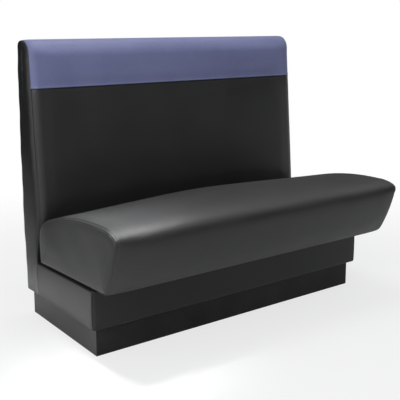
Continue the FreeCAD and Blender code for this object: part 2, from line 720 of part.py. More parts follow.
def seatSection(x, seamShare, faceInset, crown, cornerRadius, skin):
    """The cushion's outline at x, drawn in towards its seam, its end face and its skin."""
    toe, heel, nose = place("toe_y"), place("heel_y"), place("nose_y")
    rearTop = place("seat_rear_height") + crown * size("rear_crown")
    crest = place("crest_height") + crown * size("seat_crown")
    contact = frontOfBack(rearTop) - size("back_crown") - size("seat_back_clearance")
    lean = (contact - heel) / (rearTop - underSeat(heel))
    crestY = nose + size("crest_setback")
    fall = (crest - rearTop) / (contact - crestY)
    bow = size("top_bow")
    middleY = (contact + crestY) / 2
    roll = size("nose_radius")
    above, below = math.radians(size("shoulder_angle")), math.radians(size("chin_angle"))
    shoulderY = nose + roll * (1 - math.cos(above))
    shoulder = place("nose_height") + roll * math.sin(above)
    chinY = nose + roll * (1 - math.cos(below))
    chin = place("nose_height") - roll * math.sin(below)
    frontLean = (toe - chinY) / (chin - underSeat(toe))
    radius = size("toe_radius")
    points = {
        "heel": (heel, underSeat(heel)),
        "cornerLow": (contact - cornerRadius * lean, rearTop - cornerRadius),
        "cornerMiddle": (contact - cornerRadius * cornerCutShare,
                         rearTop - cornerRadius * cornerCutShare),
        "cornerHigh": (contact - cornerRadius, rearTop + cornerRadius * fall),
        "topMiddle": (middleY, (crest + rearTop) / 2 + bow),
        "crest": (crestY, crest),
        "brow": ((crestY + shoulderY) / 2, (crest + shoulder) / 2 + size("brow_rise")),
        "shoulder": (shoulderY, shoulder),
        "nose": (nose, place("nose_height")),
        "chin": (chinY, chin),
        "toeHigh": (toe - radius * frontLean, underSeat(toe) + radius),
        "toeMiddle": (toe + radius * toeCutShare * (1 - frontLean),
                      underSeat(toe) + radius * toeCutShare),
        "toeLow": (toe + radius, underSeat(toe + radius)),
    }
    base = underSeat(nose)
    rise = place("crest_height") - base
    anchorY = heel - anchorShare * (heel - nose)
    anchorZ = base + anchorShare * rise

    def spot(name):
        y, z = points[name]
        y += (seamShare * size("seam_nose_inset") + faceInset) * (anchorY - y) / (anchorY - nose)
        z -= seamShare * size("seam_top_inset") * (z - base) / rise
        z -= faceInset * (z - anchorZ) / (base + rise - anchorZ)
        y += skin * (seatMiddleY - y) / seatHalfDepth
        z += skin * (base + rise / 2 - z) / (rise / 2)
        return FreeCAD.Vector(x, y, z)

    return Part.Wire([edge.toShape() for edge in (
        Part.LineSegment(spot("heel"), spot("cornerLow")),
        Part.Arc(spot("cornerLow"), spot("cornerMiddle"), spot("cornerHigh")),
        Part.Arc(spot("cornerHigh"), spot("topMiddle"), spot("crest")),
        Part.Arc(spot("crest"), spot("brow"), spot("shoulder")),
        Part.Arc(spot("shoulder"), spot("nose"), spot("chin")),
        Part.LineSegment(spot("chin"), spot("toeHigh")),
        Part.Arc(spot("toeHigh"), spot("toeMiddle"), spot("toeLow")),
        Part.LineSegment(spot("toeLow"), spot("heel")),
    )])


def seatStations(skin):
    """Places along half the cushion: x, seam share, face inset, crown share, corner radius, skin."""
    half, seam = place("seat_half") - skin, place("seam_half")
    loose, tight = size("end_corner_radius"), size("middle_corner_radius")
    stations = []
    for along, share in endRollShares:
        stations.append((seam + along * (half - seam), 1, share * size("end_face_inset"), 0, loose, skin))
    for along, share in seamFadeShares:
        stations.append((seam - along * size("seam_fade"), share, 0, 0, loose, skin))
    full = seam - size("seam_fade")
    for along, crown, tightness in crownShares:
        x = (1 - along) * (full - size("crown_fade"))
        stations.append((x, 0, 0, crown, loose + tightness * (tight - loose), skin))
    return stations


seatOuter = ruledForm(seatSection, seatStations(0))
seatInner = ruledForm(seatSection, seatStations(size("vinyl_thickness")))


def pitchedForm(lowX, highX, lowY, highY, lowLift, highLift):
    """A block that follows the seat's pitch, with heights counted from its underside."""
    outline = Part.makePolygon([FreeCAD.Vector(lowX, y, underSeat(y) + lift) for y, lift in (
        (lowY, lowLift), (highY, lowLift), (highY, highLift), (lowY, highLift), (lowY, lowLift))])
    return Part.Face(outline).extrude(FreeCAD.Vector(highX - lowX, 0, 0))


endRail = place("end_rail_half")
cavity = pitchedForm(-endRail, endRail, place("front_rail_y"), place("rear_rail_y"),
                     -size("overrun"), place("cavity_lift"))
solidNode("seat_foam", seatInner.cut(cavity))

wrap = size("cover_return")
openHalf = place("seat_half") - wrap
opening = pitchedForm(-openHalf, openHalf, place("toe_y") + wrap, place("heel_y") - wrap,
                      -size("overrun"), size("overrun"))
seatShell = seatOuter.cut([seatInner, opening])
seam = place("seam_half")
solidNode("seat_top_cover", seatShell.common(slab(-seam, seam, -reach, reach, 0, reach)))
solidNode("seat_left_end_cover", seatShell.common(slab(-reach, -seam, -reach, reach, 0, reach)))
solidNode("seat_right_end_cover", seatShell.common(slab(seam, reach, -reach, reach, 0, reach)))


# Seat frame, on the same pitch

def seatBoard(name, lowY, highY, low, thickness, lowLift, highLift):
    """A board that follows the seat's pitch."""
    outline = [(lowY, seatUnder(lowY, lowLift)), (highY, seatUnder(highY, lowLift)),
               (highY, seatUnder(highY, highLift)), (lowY, seatUnder(lowY, highLift))]
    return board(name, "YZ", outline, low, thickness)


railTop = "frame_lift + seat_frame_height"
keep(seatBoard("seat_front_rail", "front_rail_y", "front_rail_inner_y", "-end_rail_inner",
               "2 * end_rail_inner", "frame_lift", railTop), "seat_front_rail")
keep(seatBoard("seat_rear_rail", "rear_rail_inner_y", "rear_rail_y", "-end_rail_inner",
               "2 * end_rail_inner", "frame_lift", railTop), "seat_rear_rail")
keep(seatBoard("seat_left_rail", "front_rail_y", "rear_rail_y", "-end_rail_half",
               "seat_rail_thickness", "frame_lift", railTop), "seat_left_rail")
keep(seatBoard("seat_right_rail", "front_rail_y", "rear_rail_y", "end_rail_inner",
               "seat_rail_thickness", "frame_lift", railTop), "seat_right_rail")
keep(together("seat_cross_rails", [
    seatBoard("seat_cross_rail_" + label, "front_rail_inner_y", "rear_rail_inner_y",
              x + " - board_thickness / 2", "board_thickness",
              "frame_lift", "frame_lift + cross_rail_height")
    for label, x in dividers.items()]), "seat_cross_rails")

# Zigzag springs from the front rail to the rear rail, each held by a clip at both ends

springY = [place("front_rail_y") + size("seat_rail_thickness") / 2,
           place("rear_rail_y") - size("seat_rail_thickness") / 2]
pitchAngle = math.degrees(math.atan(slope))
springLength = (springY[1] - springY[0]) / math.cos(math.atan(slope))
wire = size("spring_wire_radius")
turnRadius = size("spring_pitch") / 2
runHalf = size("spring_half_width") - turnRadius
spanCount = int((springLength - 2 * wire) // size("spring_pitch"))
startY = (springLength - spanCount * size("spring_pitch")) / 2


def zigzagSpring():
    """One spring in its own flat plane: straight runs along X joined by half turns."""
    edges = []
    side = -1
    for span in range(spanCount + 1):
        y = startY + span * size("spring_pitch")
        edges.append(Part.LineSegment(FreeCAD.Vector(side * runHalf, y, 0),
                                      FreeCAD.Vector(-side * runHalf, y, 0)))
        side = -side
        if span < spanCount:
            middle = y + turnRadius
            tip = FreeCAD.Vector(side * (runHalf + turnRadius), middle, 0)
            edges.append(Part.Arc(FreeCAD.Vector(side * runHalf, y, 0), tip,
                                  FreeCAD.Vector(side * runHalf, y + 2 * turnRadius, 0)))
    path = Part.Wire([edge.toShape() for edge in edges])
    start = path.Vertexes[0].Point
    ring = Part.Wire(Part.makeCircle(wire, start, FreeCAD.Vector(1, 0, 0)))
    return path.makePipeShell([ring], True, False)


clipY = [springY[0] + startY, springY[1] - startY]
springCount = 2 * int(place("end_rail_inner") // size("spring_spacing")) + 1
springX = [(number - (springCount - 1) / 2) * size("spring_spacing") for number in range(springCount)]
tilt = FreeCAD.Rotation(FreeCAD.Vector(1, 0, 0), -pitchAngle)
flatSpring = zigzagSpring()
springs = []
for x in springX:
    spring = flatSpring.copy()
    origin = FreeCAD.Vector(x, springY[0], underSeat(springY[0]) + place("spring_lift"))
    spring.Placement = FreeCAD.Placement(origin, tilt)
    springs.append(spring)
solidNode("seat_springs", Part.makeCompound(springs))

clips = []
for x in springX:
    for y, away in ((clipY[0], 1), (clipY[1], -1)):
        half = size("clip_width") / 2
        deep = size("clip_depth") / 2
        wall = size("clip_wall")
        low = place("frame_lift") + size("seat_frame_height")
        outer = pitchedForm(x - half, x + half, y - deep, y + deep, low, low + place("clip_height"))
        slotY = sorted((y - away * (wire + size("clip_clearance")), y + away * (deep + size("overrun"))))
        slot = pitchedForm(x - half - wall, x + half + wall, slotY[0], slotY[1],
                           low + wall, low + place("clip_height") - wall)
        clips.append(outer.cut(slot))
solidNode("spring_clips", Part.makeCompound(clips))

keep(seatBoard("spring_pad", "front_rail_y", "rear_rail_y", "-end_rail_half", "2 * end_rail_half",
               "pad_lift", "cavity_lift"), "spring_pad")
keep(seatBoard("seat_dust_cover", "toe_y + cover_return + dust_cover_clearance",
               "heel_y - cover_return - dust_cover_clearance",
               "-(seat_half - cover_return - dust_cover_clearance)",
               "2 * (seat_half - cover_return - dust_cover_clearance)",
               "frame_lift - dust_cover_thickness", "frame_lift"), "seat_dust_cover")

# Battens that carry the seat on the box, and blocks that keep it from sliding

battenHalf = "(inner_half - locator_clearance)"
batten = {}
for label, lowY in (("front", "front_batten_y"), ("rear", "rear_batten_y")):
    batten[label] = seatBoard("seat_batten_" + label, lowY, lowY + " + batten_width", "-" + battenHalf,
                              "2 * " + battenHalf, "seat_rest_clearance - seat_gap",
                              "frame_lift - dust_cover_thickness")
keep(together("seat_battens", list(batten.values())), "seat_battens")
locators = []
for label, lowX in (("left", "-" + battenHalf), ("right", battenHalf + " - locator_thickness")):
    for depth, lowY in (("front", "frame_inner_y + locator_clearance"),
                        ("rear", "rear_batten_y")):
        locators.append(seatBoard("seat_locator_%s_%s" % (label, depth),
                                  lowY, lowY + " + locator_length", lowX, "locator_thickness",
                                  "seat_rest_clearance - seat_gap - locator_drop",
                                  "seat_rest_clearance - seat_gap"))
keep(together("seat_locating_blocks", locators), "seat_locating_blocks")

document.recompute()

# Checks, then one file for each sub-part

for item in document.Objects:
    if "Invalid" in item.State or "Error" in item.State:
        raise RuntimeError("%s failed to recompute" % item.Name)
for item in subParts:
    if item.Shape.isNull() or not item.Shape.isValid() or not item.Shape.Solids:
        raise RuntimeError("%s has no valid solid" % item.Label)

os.makedirs("parts", exist_ok=True)
for item in subParts:
    item.Shape.exportStep("parts/%s.step" % item.Label)
print("%d sub-parts, %d solids" % (len(subParts), sum(len(item.Shape.Solids) for item in subParts)))
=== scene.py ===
import math
import bmesh
import bpy
import numpy as np
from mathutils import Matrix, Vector


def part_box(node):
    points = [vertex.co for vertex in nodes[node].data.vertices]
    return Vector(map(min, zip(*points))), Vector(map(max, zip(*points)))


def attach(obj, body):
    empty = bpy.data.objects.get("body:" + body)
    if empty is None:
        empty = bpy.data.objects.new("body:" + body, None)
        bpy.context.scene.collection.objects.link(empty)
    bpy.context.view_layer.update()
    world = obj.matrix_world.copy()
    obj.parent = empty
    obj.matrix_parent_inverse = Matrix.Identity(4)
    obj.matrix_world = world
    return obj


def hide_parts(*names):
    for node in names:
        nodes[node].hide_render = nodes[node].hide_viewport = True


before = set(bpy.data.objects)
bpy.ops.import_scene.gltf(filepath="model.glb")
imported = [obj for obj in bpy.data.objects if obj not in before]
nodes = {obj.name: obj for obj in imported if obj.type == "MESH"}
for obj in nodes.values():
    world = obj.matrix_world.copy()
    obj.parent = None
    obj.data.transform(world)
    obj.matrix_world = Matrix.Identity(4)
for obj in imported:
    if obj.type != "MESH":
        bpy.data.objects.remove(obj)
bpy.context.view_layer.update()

scene = bpy.context.scene

# the bench's main places in metres, as its solids have them: X along it, Y to the rear, Z up
bench = {
    "rearY": 0.3675, "boxFrontY": -0.1625, "boxRearY": 0.2675, "outerHalf": 0.643, "kickTop": 0.102,
    "apronTop": 0.247, "pitch": math.tan(math.radians(1.9)), "lumbarZ": 0.400, "lumbarDepth": 0.142,
    "backSlope": 0.08, "coverThickness": 0.0012,
}
sideWords = {-1: "left", 1: "right"}


def link(name, mesh):
    piece = bpy.data.objects.new(name, mesh)
    scene.collection.objects.link(piece)
    return piece


def arcPoints(start, middle, end, count):
    # count points after start on the circle through three points
    (ax, ay), (bx, by), (cx, cy) = start, middle, end
    first, second, third = ax * ax + ay * ay, bx * bx + by * by, cx * cx + cy * cy
    d = 2 * (ax * (by - cy) + bx * (cy - ay) + cx * (ay - by))
    ux = (first * (by - cy) + second * (cy - ay) + third * (ay - by)) / d
    uy = (first * (cx - bx) + second * (ax - cx) + third * (bx - ax)) / d
    radius = math.hypot(ax - ux, ay - uy)
    a0, a1, a2 = (math.atan2(y - uy, x - ux) for x, y in (start, middle, end))
    turn = (a2 - a0) % (2 * math.pi)
    if (a1 - a0) % (2 * math.pi) > turn:
        turn -= 2 * math.pi
    angles = [a0 + turn * k / count for k in range(1, count + 1)]
    return [(ux + radius * math.cos(a), uy + radius * math.sin(a)) for a in angles]


def straight(start, end, count):
    return [(start[0] + (end[0] - start[0]) * k / count, start[1] + (end[1] - start[1]) * k / count)
            for k in range(1, count + 1)]


def runOf(points):
    # the distance walked along a line, at each of its points
    return np.concatenate([[0], np.cumsum(np.linalg.norm(np.diff(points, axis=0), axis=1))])


def spaced(points, count):
    # the same line with count points at equal steps
    points = np.asarray(points, float)
    run = runOf(points)
    at = np.linspace(0, run[-1], count)
    return np.stack([np.interp(at, run, points[:, k]) for k in range(points.shape[1])], 1)


def eased(points, times):
    # rounds the kinks of a line and keeps its ends
    points = np.array(points, float)
    for _ in range(times):
        points[1:-1] = 0.5 * points[1:-1] + 0.25 * (points[:-2] + points[2:])
    return points


def flowing(at, xs, ys):
    # a smooth line through a few values, without overshoot
    xs, ys = np.asarray(xs, float), np.asarray(ys, float)
    rise = np.diff(ys) / np.diff(xs)
    slopes = np.zeros(len(xs))
    for k in range(1, len(xs) - 1):
        if rise[k - 1] * rise[k] > 0:
            slopes[k] = 2 * rise[k - 1] * rise[k] / (rise[k - 1] + rise[k])
    at = np.clip(at, xs[0], xs[-1])
    k = np.clip(np.searchsorted(xs, at, side="right") - 1, 0, len(xs) - 2)
    h = xs[k + 1] - xs[k]
    t = (at - xs[k]) / h
    return ((2 * t**3 - 3 * t**2 + 1) * ys[k] + (t**3 - 2 * t**2 + t) * h * slopes[k]
            + (3 * t**2 - 2 * t**3) * ys[k + 1] + (t**3 - t**2) * h * slopes[k + 1])


def between(values, at):
    # cubic steps between the rows of an array; at counts in rows
    values = np.asarray(values, float)
    last = len(values) - 1
    k = np.clip(np.floor(at).astype(int), 0, last - 1)
    t = (np.asarray(at) - k).reshape((-1,) + (1,) * (values.ndim - 1))
    p0, p1 = values[np.maximum(k - 1, 0)], values[k]
    p2, p3 = values[k + 1], values[np.minimum(k + 2, last)]
    return p1 + 0.5 * t * (p2 - p0 + t * (2 * p0 - 5 * p1 + 4 * p2 - p3 + t * (3 * (p1 - p2) + p3 - p0)))


def betweenColumns(grid, at):
    return np.swapaxes(between(np.swapaxes(grid, 0, 1), at), 0, 1)


def ramped(count, steps):
    # rises from 0 at both ends of a row to 1 within some steps
    at = np.arange(count)
    return np.minimum(1, np.minimum(at, at[::-1]) / steps)


def unit(arrows):
    return arrows / np.maximum(np.linalg.norm(arrows, axis=-1, keepdims=True), 1e-12)


def gridNormals(grid):
    return unit(np.cross(np.gradient(grid, axis=0), np.gradient(grid, axis=1)))


def outwardOf(grid, inside):
    # a grid's normals, away from a place behind it
    normal = gridNormals(grid)
    return -normal if np.einsum("ijk,ijk->", normal, grid - np.asarray(inside)) < 0 else normal


def loopNormals(grid, side):
    # normals of rings that close on themselves, with the inner rings facing one side along X
    normal = gridNormals(np.concatenate([grid, grid[:, :2]], 1))[:, :grid.shape[1]]
    return -normal if (normal[-4:, :, 0] * side).sum() < 0 else normal


def gridFaces(rows, cols, loop=False):
    index = np.arange(rows * cols).reshape(rows, cols)
    if loop:
        index = np.concatenate([index, index[:, :1]], 1)
    corners = index[:-1, :-1], index[1:, :-1], index[1:, 1:], index[:-1, 1:]
    return np.stack(corners, -1).reshape(-1, 4).tolist()


def surface(name, points, faces, inside=None):
    # a smooth mesh whose faces point away from a place behind them
    points = np.asarray(points, float).reshape(-1, 3)
    mesh = bpy.data.meshes.new(name)
    mesh.from_pydata(points.tolist(), [], faces)
    mesh.validate()
    mesh.polygons.foreach_set("use_smooth", [True] * len(mesh.polygons))
    if inside is not None:
        middles = np.array([face.center for face in mesh.polygons])
        normals = np.array([face.normal for face in mesh.polygons])
        areas = np.array([face.area for face in mesh.polygons])
        if (np.einsum("ij,ij->i", normals, middles - np.asarray(inside)) * areas).sum() < 0:
            mesh.flip_normals()
    mesh.update()
    return link(name, mesh)


def facedOut(piece, side, sample):
    # turns all faces the same way, with the sample face out to one side
    work = bmesh.new()
    work.from_mesh(piece.data)
    bmesh.ops.recalc_face_normals(work, faces=work.faces)
    work.to_mesh(piece.data)
    work.free()
    if piece.data.polygons[sample].normal.x * side < 0:
        piece.data.flip_normals()
    return piece


def thickened(piece, thickness=bench["coverThickness"]):
    wall = piece.modifiers.new("wall", "SOLIDIFY")
    wall.thickness = thickness
    return piece


def finished(piece, material, body, standsFor=()):
    piece.data.materials.clear()
    piece.data.materials.append(material)
    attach(piece, body)
    if standsFor:
        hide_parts(*standsFor)


def waves(at, lengths, seed):
    # a steady wandering line from a few sines
    total = np.zeros_like(np.asarray(at, float))
    for k, length in enumerate(lengths):
        total += np.sin(2 * math.pi * at / length + 1.7 * seed + 2.3 * k) / len(lengths)
    return total


def rippled(u, v, height, perU, shiftU, perV, shiftV, slant=0):
    # two crossing waves over a surface
    return height * np.sin(u * perU + v * slant + shiftU) * np.sin(v * perV + shiftV)


def calmed(field, times):
    # smooths a grid of moves and leaves its edges
    field = np.array(field, float)
    for _ in range(times):
        field[1:-1] = 0.5 * field[1:-1] + 0.25 * (field[:-2] + field[2:])
        field[:, 1:-1] = 0.5 * field[:, 1:-1] + 0.25 * (field[:, :-2] + field[:, 2:])
    return field


clothSettings = {"steps": 6, "mass": 0.35, "tension": 40, "shearShare": 0.5, "bending": 8, "frames": 20}


def swelled(name, loops, held, caps, settings):
    # inflates closed loops, held where the covers are sewn, and gives back how far each point went
    rows, cols = loops.shape[:2]
    points = np.concatenate([loops.reshape(-1, 3), np.asarray(caps, float)])
    faces = gridFaces(rows, cols, loop=True)
    for side, row in enumerate((0, rows - 1)):
        ring = [row * cols + k for k in range(cols)]
        for pair in zip(ring, ring[1:] + ring[:1]):
            faces.append(list(pair if side else pair[::-1]) + [rows * cols + side])
    piece = surface(name, points, faces, inside=points.mean(0))
    group = piece.vertex_groups.new(name="sewn")
    kept = np.round(np.concatenate([held.reshape(-1), np.ones(2)]), 2)
    group.add(np.nonzero(kept == 1)[0].tolist(), 1, "REPLACE")
    cloth = piece.modifiers.new("cloth", "CLOTH")
    make = cloth.settings
    make.quality = settings["steps"]
    make.mass = settings["mass"]
    make.tension_stiffness = settings["tension"]
    make.compression_stiffness = settings["tension"]
    make.shear_stiffness = settings["tension"] * settings["shearShare"]
    make.bending_stiffness = settings["bending"]
    make.use_pressure = True
    make.uniform_pressure_force = settings["pressure"]
    make.effector_weights.gravity = 0
    make.vertex_group_mass = "sewn"
    make.pin_stiffness = 1
    cloth.collision_settings.use_collision = False
    cloth.point_cache.frame_start = 1
    cloth.point_cache.frame_end = settings["frames"]
    for moment in range(1, settings["frames"] + 1):
        scene.frame_set(moment)
    shaped = piece.evaluated_get(bpy.context.evaluated_depsgraph_get()).data
    moved = np.zeros(len(shaped.vertices) * 3)
    shaped.vertices.foreach_get("co", moved)
    scene.frame_set(1)
    bpy.data.objects.remove(piece)
    drift = moved.reshape(-1, 3) - points
    length = np.linalg.norm(drift, axis=1, keepdims=True)
    drift *= np.minimum(1, settings["cap"] / np.maximum(length, 1e-9))
    print("  swelled %s: up to %.1f mm, mean %.1f mm" % (name, length.max() * 1000, length.mean() * 1000))
    return drift[:rows * cols].reshape(rows, cols, 3)


def drawnAndSwelled(name, rows, loops, held, slack, settings):
    # draws the cover in, swells it up again and gives back each point's move
    drawn = -outwardOf(rows, settings["inside"]) * slack[..., None] * settings["drawn"]
    start = loops.copy()
    start[:, :rows.shape[1]] += drawn
    caps = [(row[0, 0], *settings["capPlace"]) for row in (rows[0], rows[-1])]
    moved = swelled(name, start, held, caps, settings)
    return calmed(moved[:, :rows.shape[1]] + drawn, settings["calming"])


shot = {
    "place": (-1.7704, -2.2926, 1.1299), "turn": 36.472, "tip": 9.805, "shift": -0.12,
    "focalPixels": 750.7, "imagePixels": 400, "sensor": 36,
}
camera = link("camera", bpy.data.cameras.new("camera"))
camera.location = shot["place"]
camera.rotation_euler = (math.radians(90 - shot["tip"]), 0, -math.radians(shot["turn"]))
camera.data.sensor_width = shot["sensor"]
camera.data.lens = shot["sensor"] * shot["focalPixels"] / shot["imagePixels"]
camera.data.shift_y = shot["shift"]
camera.data.clip_end = 100
scene.camera = camera
scene.view_settings.view_transform = "Standard"

lights = {
    # name: place, aimed at, width, height, watts, degrees of spread
    "keySoftbox": ((-2.8, -1.2, 1.7), (0, 0.1, 0.7), 1.0, 0.9, 32, 180),
    "topSoftbox": ((0.05, 0.15, 2.7), (-0.3, 0, 0.4), 1.0, 0.8, 22, 180),
    "lowSoftbox": ((-1.25, 0.62, 0.06), (-0.62, 0.06, 0.04), 0.7, 0.1, 0.45, 32),
    "endSoftbox": ((-0.8, 0.05, 2.3), (-0.62, -0.2, 0.48), 0.5, 0.35, 1.7, 20),
    "crestSoftbox": ((-0.15, 0.125, 2.3), (-0.68, -0.27, 0.488), 0.4, 0.4, 0.7, 11),
}
for name, (place, target, width, height, watts, spread) in lights.items():
    lamp = bpy.data.lights.new(name, "AREA")
    lamp.shape = "RECTANGLE"
    lamp.size = width
    lamp.size_y = height
    lamp.energy = watts
    lamp.spread = math.radians(spread)
    holder = link(name, lamp)
    holder.location = place
    holder.rotation_euler = (Vector(target) - Vector(place)).to_track_quat("-Z", "Y").to_euler()
    holder.visible_camera = False


def feed(tree, node, values):
    # each input takes a constant, or the output that drives it
    for key, value in values.items():
        if isinstance(value, bpy.types.NodeSocket):
            tree.links.new(value, node.inputs[key])
        else:
            node.inputs[key].default_value = value


def put(tree, kind, values=None, **settings):
    made = tree.nodes.new(kind)
    for key, value in settings.items():
        setattr(made, key, value)
    feed(tree, made, values or {})
    return made


def maths(tree, operation, *values):
    return put(tree, "ShaderNodeMath", dict(enumerate(values)), operation=operation).outputs[0]


def emptied(owner):
    owner.use_nodes = True
    owner.node_tree.nodes.clear()
    return owner.node_tree


def ramp(tree, source, stops):
    made = put(tree, "ShaderNodeValToRGB", {"Fac": source})
    line = made.color_ramp
    while len(line.elements) < len(stops):
        line.elements.new(0.5)
    for element, (spot, colour) in zip(line.elements, stops):
        element.position = spot
        element.color = tuple(colour) + (1,)
    return made.outputs["Color"]


def backdropShare(tree, seen=1.0, mirrored=1.0):
    # how much of the plain white backdrop a ray meets, seen directly or in gloss and glass
    path = put(tree, "ShaderNodeLightPath")
    direct = maths(tree, "MULTIPLY", path.outputs["Is Camera Ray"], seen)
    gloss = maths(tree, "MULTIPLY", path.outputs["Is Glossy Ray"], mirrored)
    glass = maths(tree, "MULTIPLY", path.outputs["Is Transmission Ray"], mirrored)
    return maths(tree, "MAXIMUM", maths(tree, "MAXIMUM", direct, gloss), glass)


studio = {
    "daylight": 0.8, "sky": (0.96, 0.98, 1.0, 1), "white": (1, 1, 1, 1), "paper": (0.64, 0.64, 0.64, 1),
    "nearRadius": 0.7, "farRadius": 2.6, "glowSeen": 0.72, "glowMirrored": 0.36, "floorHalf": 12,
    "floorDrop": 0.0005, "clothWeave": 220, "clothDark": (0.012,) * 3, "clothLight": (0.03,) * 3,
}
scene.world = bpy.data.worlds.new("studio")
sky = emptied(scene.world)
ambient = put(sky, "ShaderNodeBackground", {"Color": studio["sky"], "Strength": studio["daylight"]})
white = put(sky, "ShaderNodeBackground", {"Color": studio["white"], "Strength": 1})
choice = put(sky, "ShaderNodeMixShader", {0: backdropShare(sky), 1: ambient.outputs[0], 2: white.outputs[0]})
put(sky, "ShaderNodeOutputWorld", {"Surface": choice.outputs[0]})


def floorPaper():
    # matte paper near the bench, plain white far out and to the eye
    material = bpy.data.materials.new("floorPaper")
    tree = emptied(material)
    matte = put(tree, "ShaderNodeBsdfDiffuse", {"Color": studio["paper"]})
    glow = put(tree, "ShaderNodeEmission", {"Color": studio["white"], "Strength": 1})
    spot = put(tree, "ShaderNodeTexCoord")
    reach = put(tree, "ShaderNodeVectorMath", {0: spot.outputs["Object"]}, operation="LENGTH")
    farAway = put(tree, "ShaderNodeMapRange", {
        "Value": reach.outputs["Value"], "From Min": studio["nearRadius"], "From Max": studio["farRadius"],
    }, interpolation_type="SMOOTHSTEP")
    near = backdropShare(tree, studio["glowSeen"], studio["glowMirrored"])
    share = put(tree, "ShaderNodeMix", {0: farAway.outputs[0], 2: near, 3: backdropShare(tree)})
    mixed = put(tree, "ShaderNodeMixShader", {0: share.outputs[0], 1: matte.outputs[0], 2: glow.outputs[0]})
    put(tree, "ShaderNodeOutputMaterial", {"Surface": mixed.outputs[0]})
    return material


def darkCloth():
    material = bpy.data.materials.new("darkCloth")
    tree = emptied(material)
    weave = put(tree, "ShaderNodeTexNoise", {"Scale": studio["clothWeave"]})
    tone = ramp(tree, weave.outputs["Fac"], [(0, studio["clothDark"]), (1, studio["clothLight"])])
    dull = put(tree, "ShaderNodeBsdfDiffuse", {"Color": tone})
    put(tree, "ShaderNodeOutputMaterial", {"Surface": dull.outputs[0]})
    return material


def staged(name, corners, material, **seen):
    # one plain square of the studio: the floor or a card
    mesh = bpy.data.meshes.new(name)
    mesh.from_pydata([tuple(corner) for corner in corners], [], [(0, 1, 2, 3)])
    mesh.materials.append(material)
    square = link(name, mesh)
    for key, value in seen.items():
        setattr(square, key, value)


staged("floor", [(x * studio["floorHalf"], y * studio["floorHalf"], -studio["floorDrop"])
                 for x, y in ((-1, -1), (1, -1), (1, 1), (-1, 1))], floorPaper())

# dark cloth cards out of the picture, as a photographer of black goods stands them
cards = {
    # name: middle, half width, half height, seen in gloss alone
    "frontCard": ((2.7, -3.5, 2.55), 2.6, 2.5, False),
    "rearCard": ((-1.6, 2.1, 1.75), 1.5, 1.73, False),
    "sideCard": ((2.4, 2.3, 1.5), 1.5, 1.45, False),
    "endCard": ((-1.3, 1.2, 0.58), 0.65, 0.56, True),
}
cardCloth = darkCloth()
for name, (middle, halfWidth, halfHeight, glossOnly) in cards.items():
    middle = Vector(middle)
    sideways = Vector((-middle.y, middle.x, 0)).normalized() * halfWidth
    upright = Vector((0, 0, halfHeight))
    staged(name, [middle - sideways - upright, middle + sideways - upright,
                  middle + sideways + upright, middle - sideways + upright], cardCloth,
           visible_camera=False, visible_diffuse=not glossOnly, visible_shadow=not glossOnly)
print("camera, lights and floor made")


def shader(name, scale=(1, 1, 1)):
    # a material with its tree, its surface node and the object coordinates
    material = bpy.data.materials.new(name)
    material.use_nodes = True
    tree = material.node_tree
    return material, tree, tree.nodes["Principled BSDF"], placed(tree, scale)


def placed(tree, scale):
    where = put(tree, "ShaderNodeTexCoord").outputs["Object"]
    return put(tree, "ShaderNodeMapping", {"Vector": where, "Scale": scale}).outputs["Vector"]


def scaledTo(tree, source, low, high, full=1.0):
    # a value from 0 to full, stretched to a range
    return put(tree, "ShaderNodeMapRange", {"Value": source, "From Max": full, "To Min": low,
                                            "To Max": high}).outputs["Result"]


def noiseAt(tree, vector, scale, detail, roughness, distortion=0.0):
    return put(tree, "ShaderNodeTexNoise", {"Vector": vector, "Scale": scale, "Detail": detail,
                                            "Roughness": roughness, "Distortion": distortion}).outputs["Fac"]


def waveAt(tree, vector, values, **settings):
    return put(tree, "ShaderNodeTexWave", {"Vector": vector, **values}, **settings).outputs["Fac"]


def summed(tree, first, second, amount):
    return maths(tree, "MULTIPLY_ADD", second, amount, first)


def raised(tree, height, distance):
    made = put(tree, "ShaderNodeBump", {"Strength": 1.0, "Height": height, "Distance": distance})
    return made.outputs["Normal"]


def axisOf(tree, source, axis):
    return put(tree, "ShaderNodeSeparateXYZ", {0: source}).outputs[axis]


def stretched(axis, share):
    # a scale that draws a pattern out along one axis
    return tuple(share if letter == axis else 1.0 for letter in "XYZ")


def coatedVinyl(name, look):
    # upholstery vinyl: pebbled grain, a fine skin, slow changes of tone and polish
    material, tree, bsdf, spot = shader(name)
    wander = noiseAt(tree, spot, 260, 2, 0.6)
    spread = put(tree, "ShaderNodeCombineXYZ", dict.fromkeys("XYZ", wander))
    bent = put(tree, "ShaderNodeVectorMath", {0: spread.outputs[0], 1: (look["bend"],) * 3, 2: spot},
               operation="MULTIPLY_ADD")
    pebble = put(tree, "ShaderNodeTexVoronoi", {"Vector": bent.outputs[0], "Scale": look["grains"],
                                                "Randomness": 1.0}, feature="DISTANCE_TO_EDGE")
    dome = scaledTo(tree, pebble.outputs["Distance"], 0.0, 1.0, look["domeEdge"])
    skin = noiseAt(tree, spot, look["grains"] * look["skinFineness"], 3, 0.6)
    crease = noiseAt(tree, spot, 46, 4, 0.62, 0.6)
    height = summed(tree, summed(tree, dome, skin, look["skin"]), crease, look["creases"])
    slow = noiseAt(tree, spot, 5.5, 4, 0.55)
    tone = summed(tree, slow, noiseAt(tree, spot, 90, 3, 0.6), 0.35)
    polish = summed(tree, slow, dome, -0.25)
    feed(tree, bsdf, {"Base Color": ramp(tree, tone, [(0.42, look["colour"]), (0.9, look["lighter"])]),
                      "Roughness": scaledTo(tree, polish, look["polished"], look["dull"]),
                      "Normal": raised(tree, height, look["grainDepth"]),
                      "Specular IOR Level": look["specular"], "Sheen Weight": look["sheen"],
                      "Sheen Roughness": 0.4})
    return material


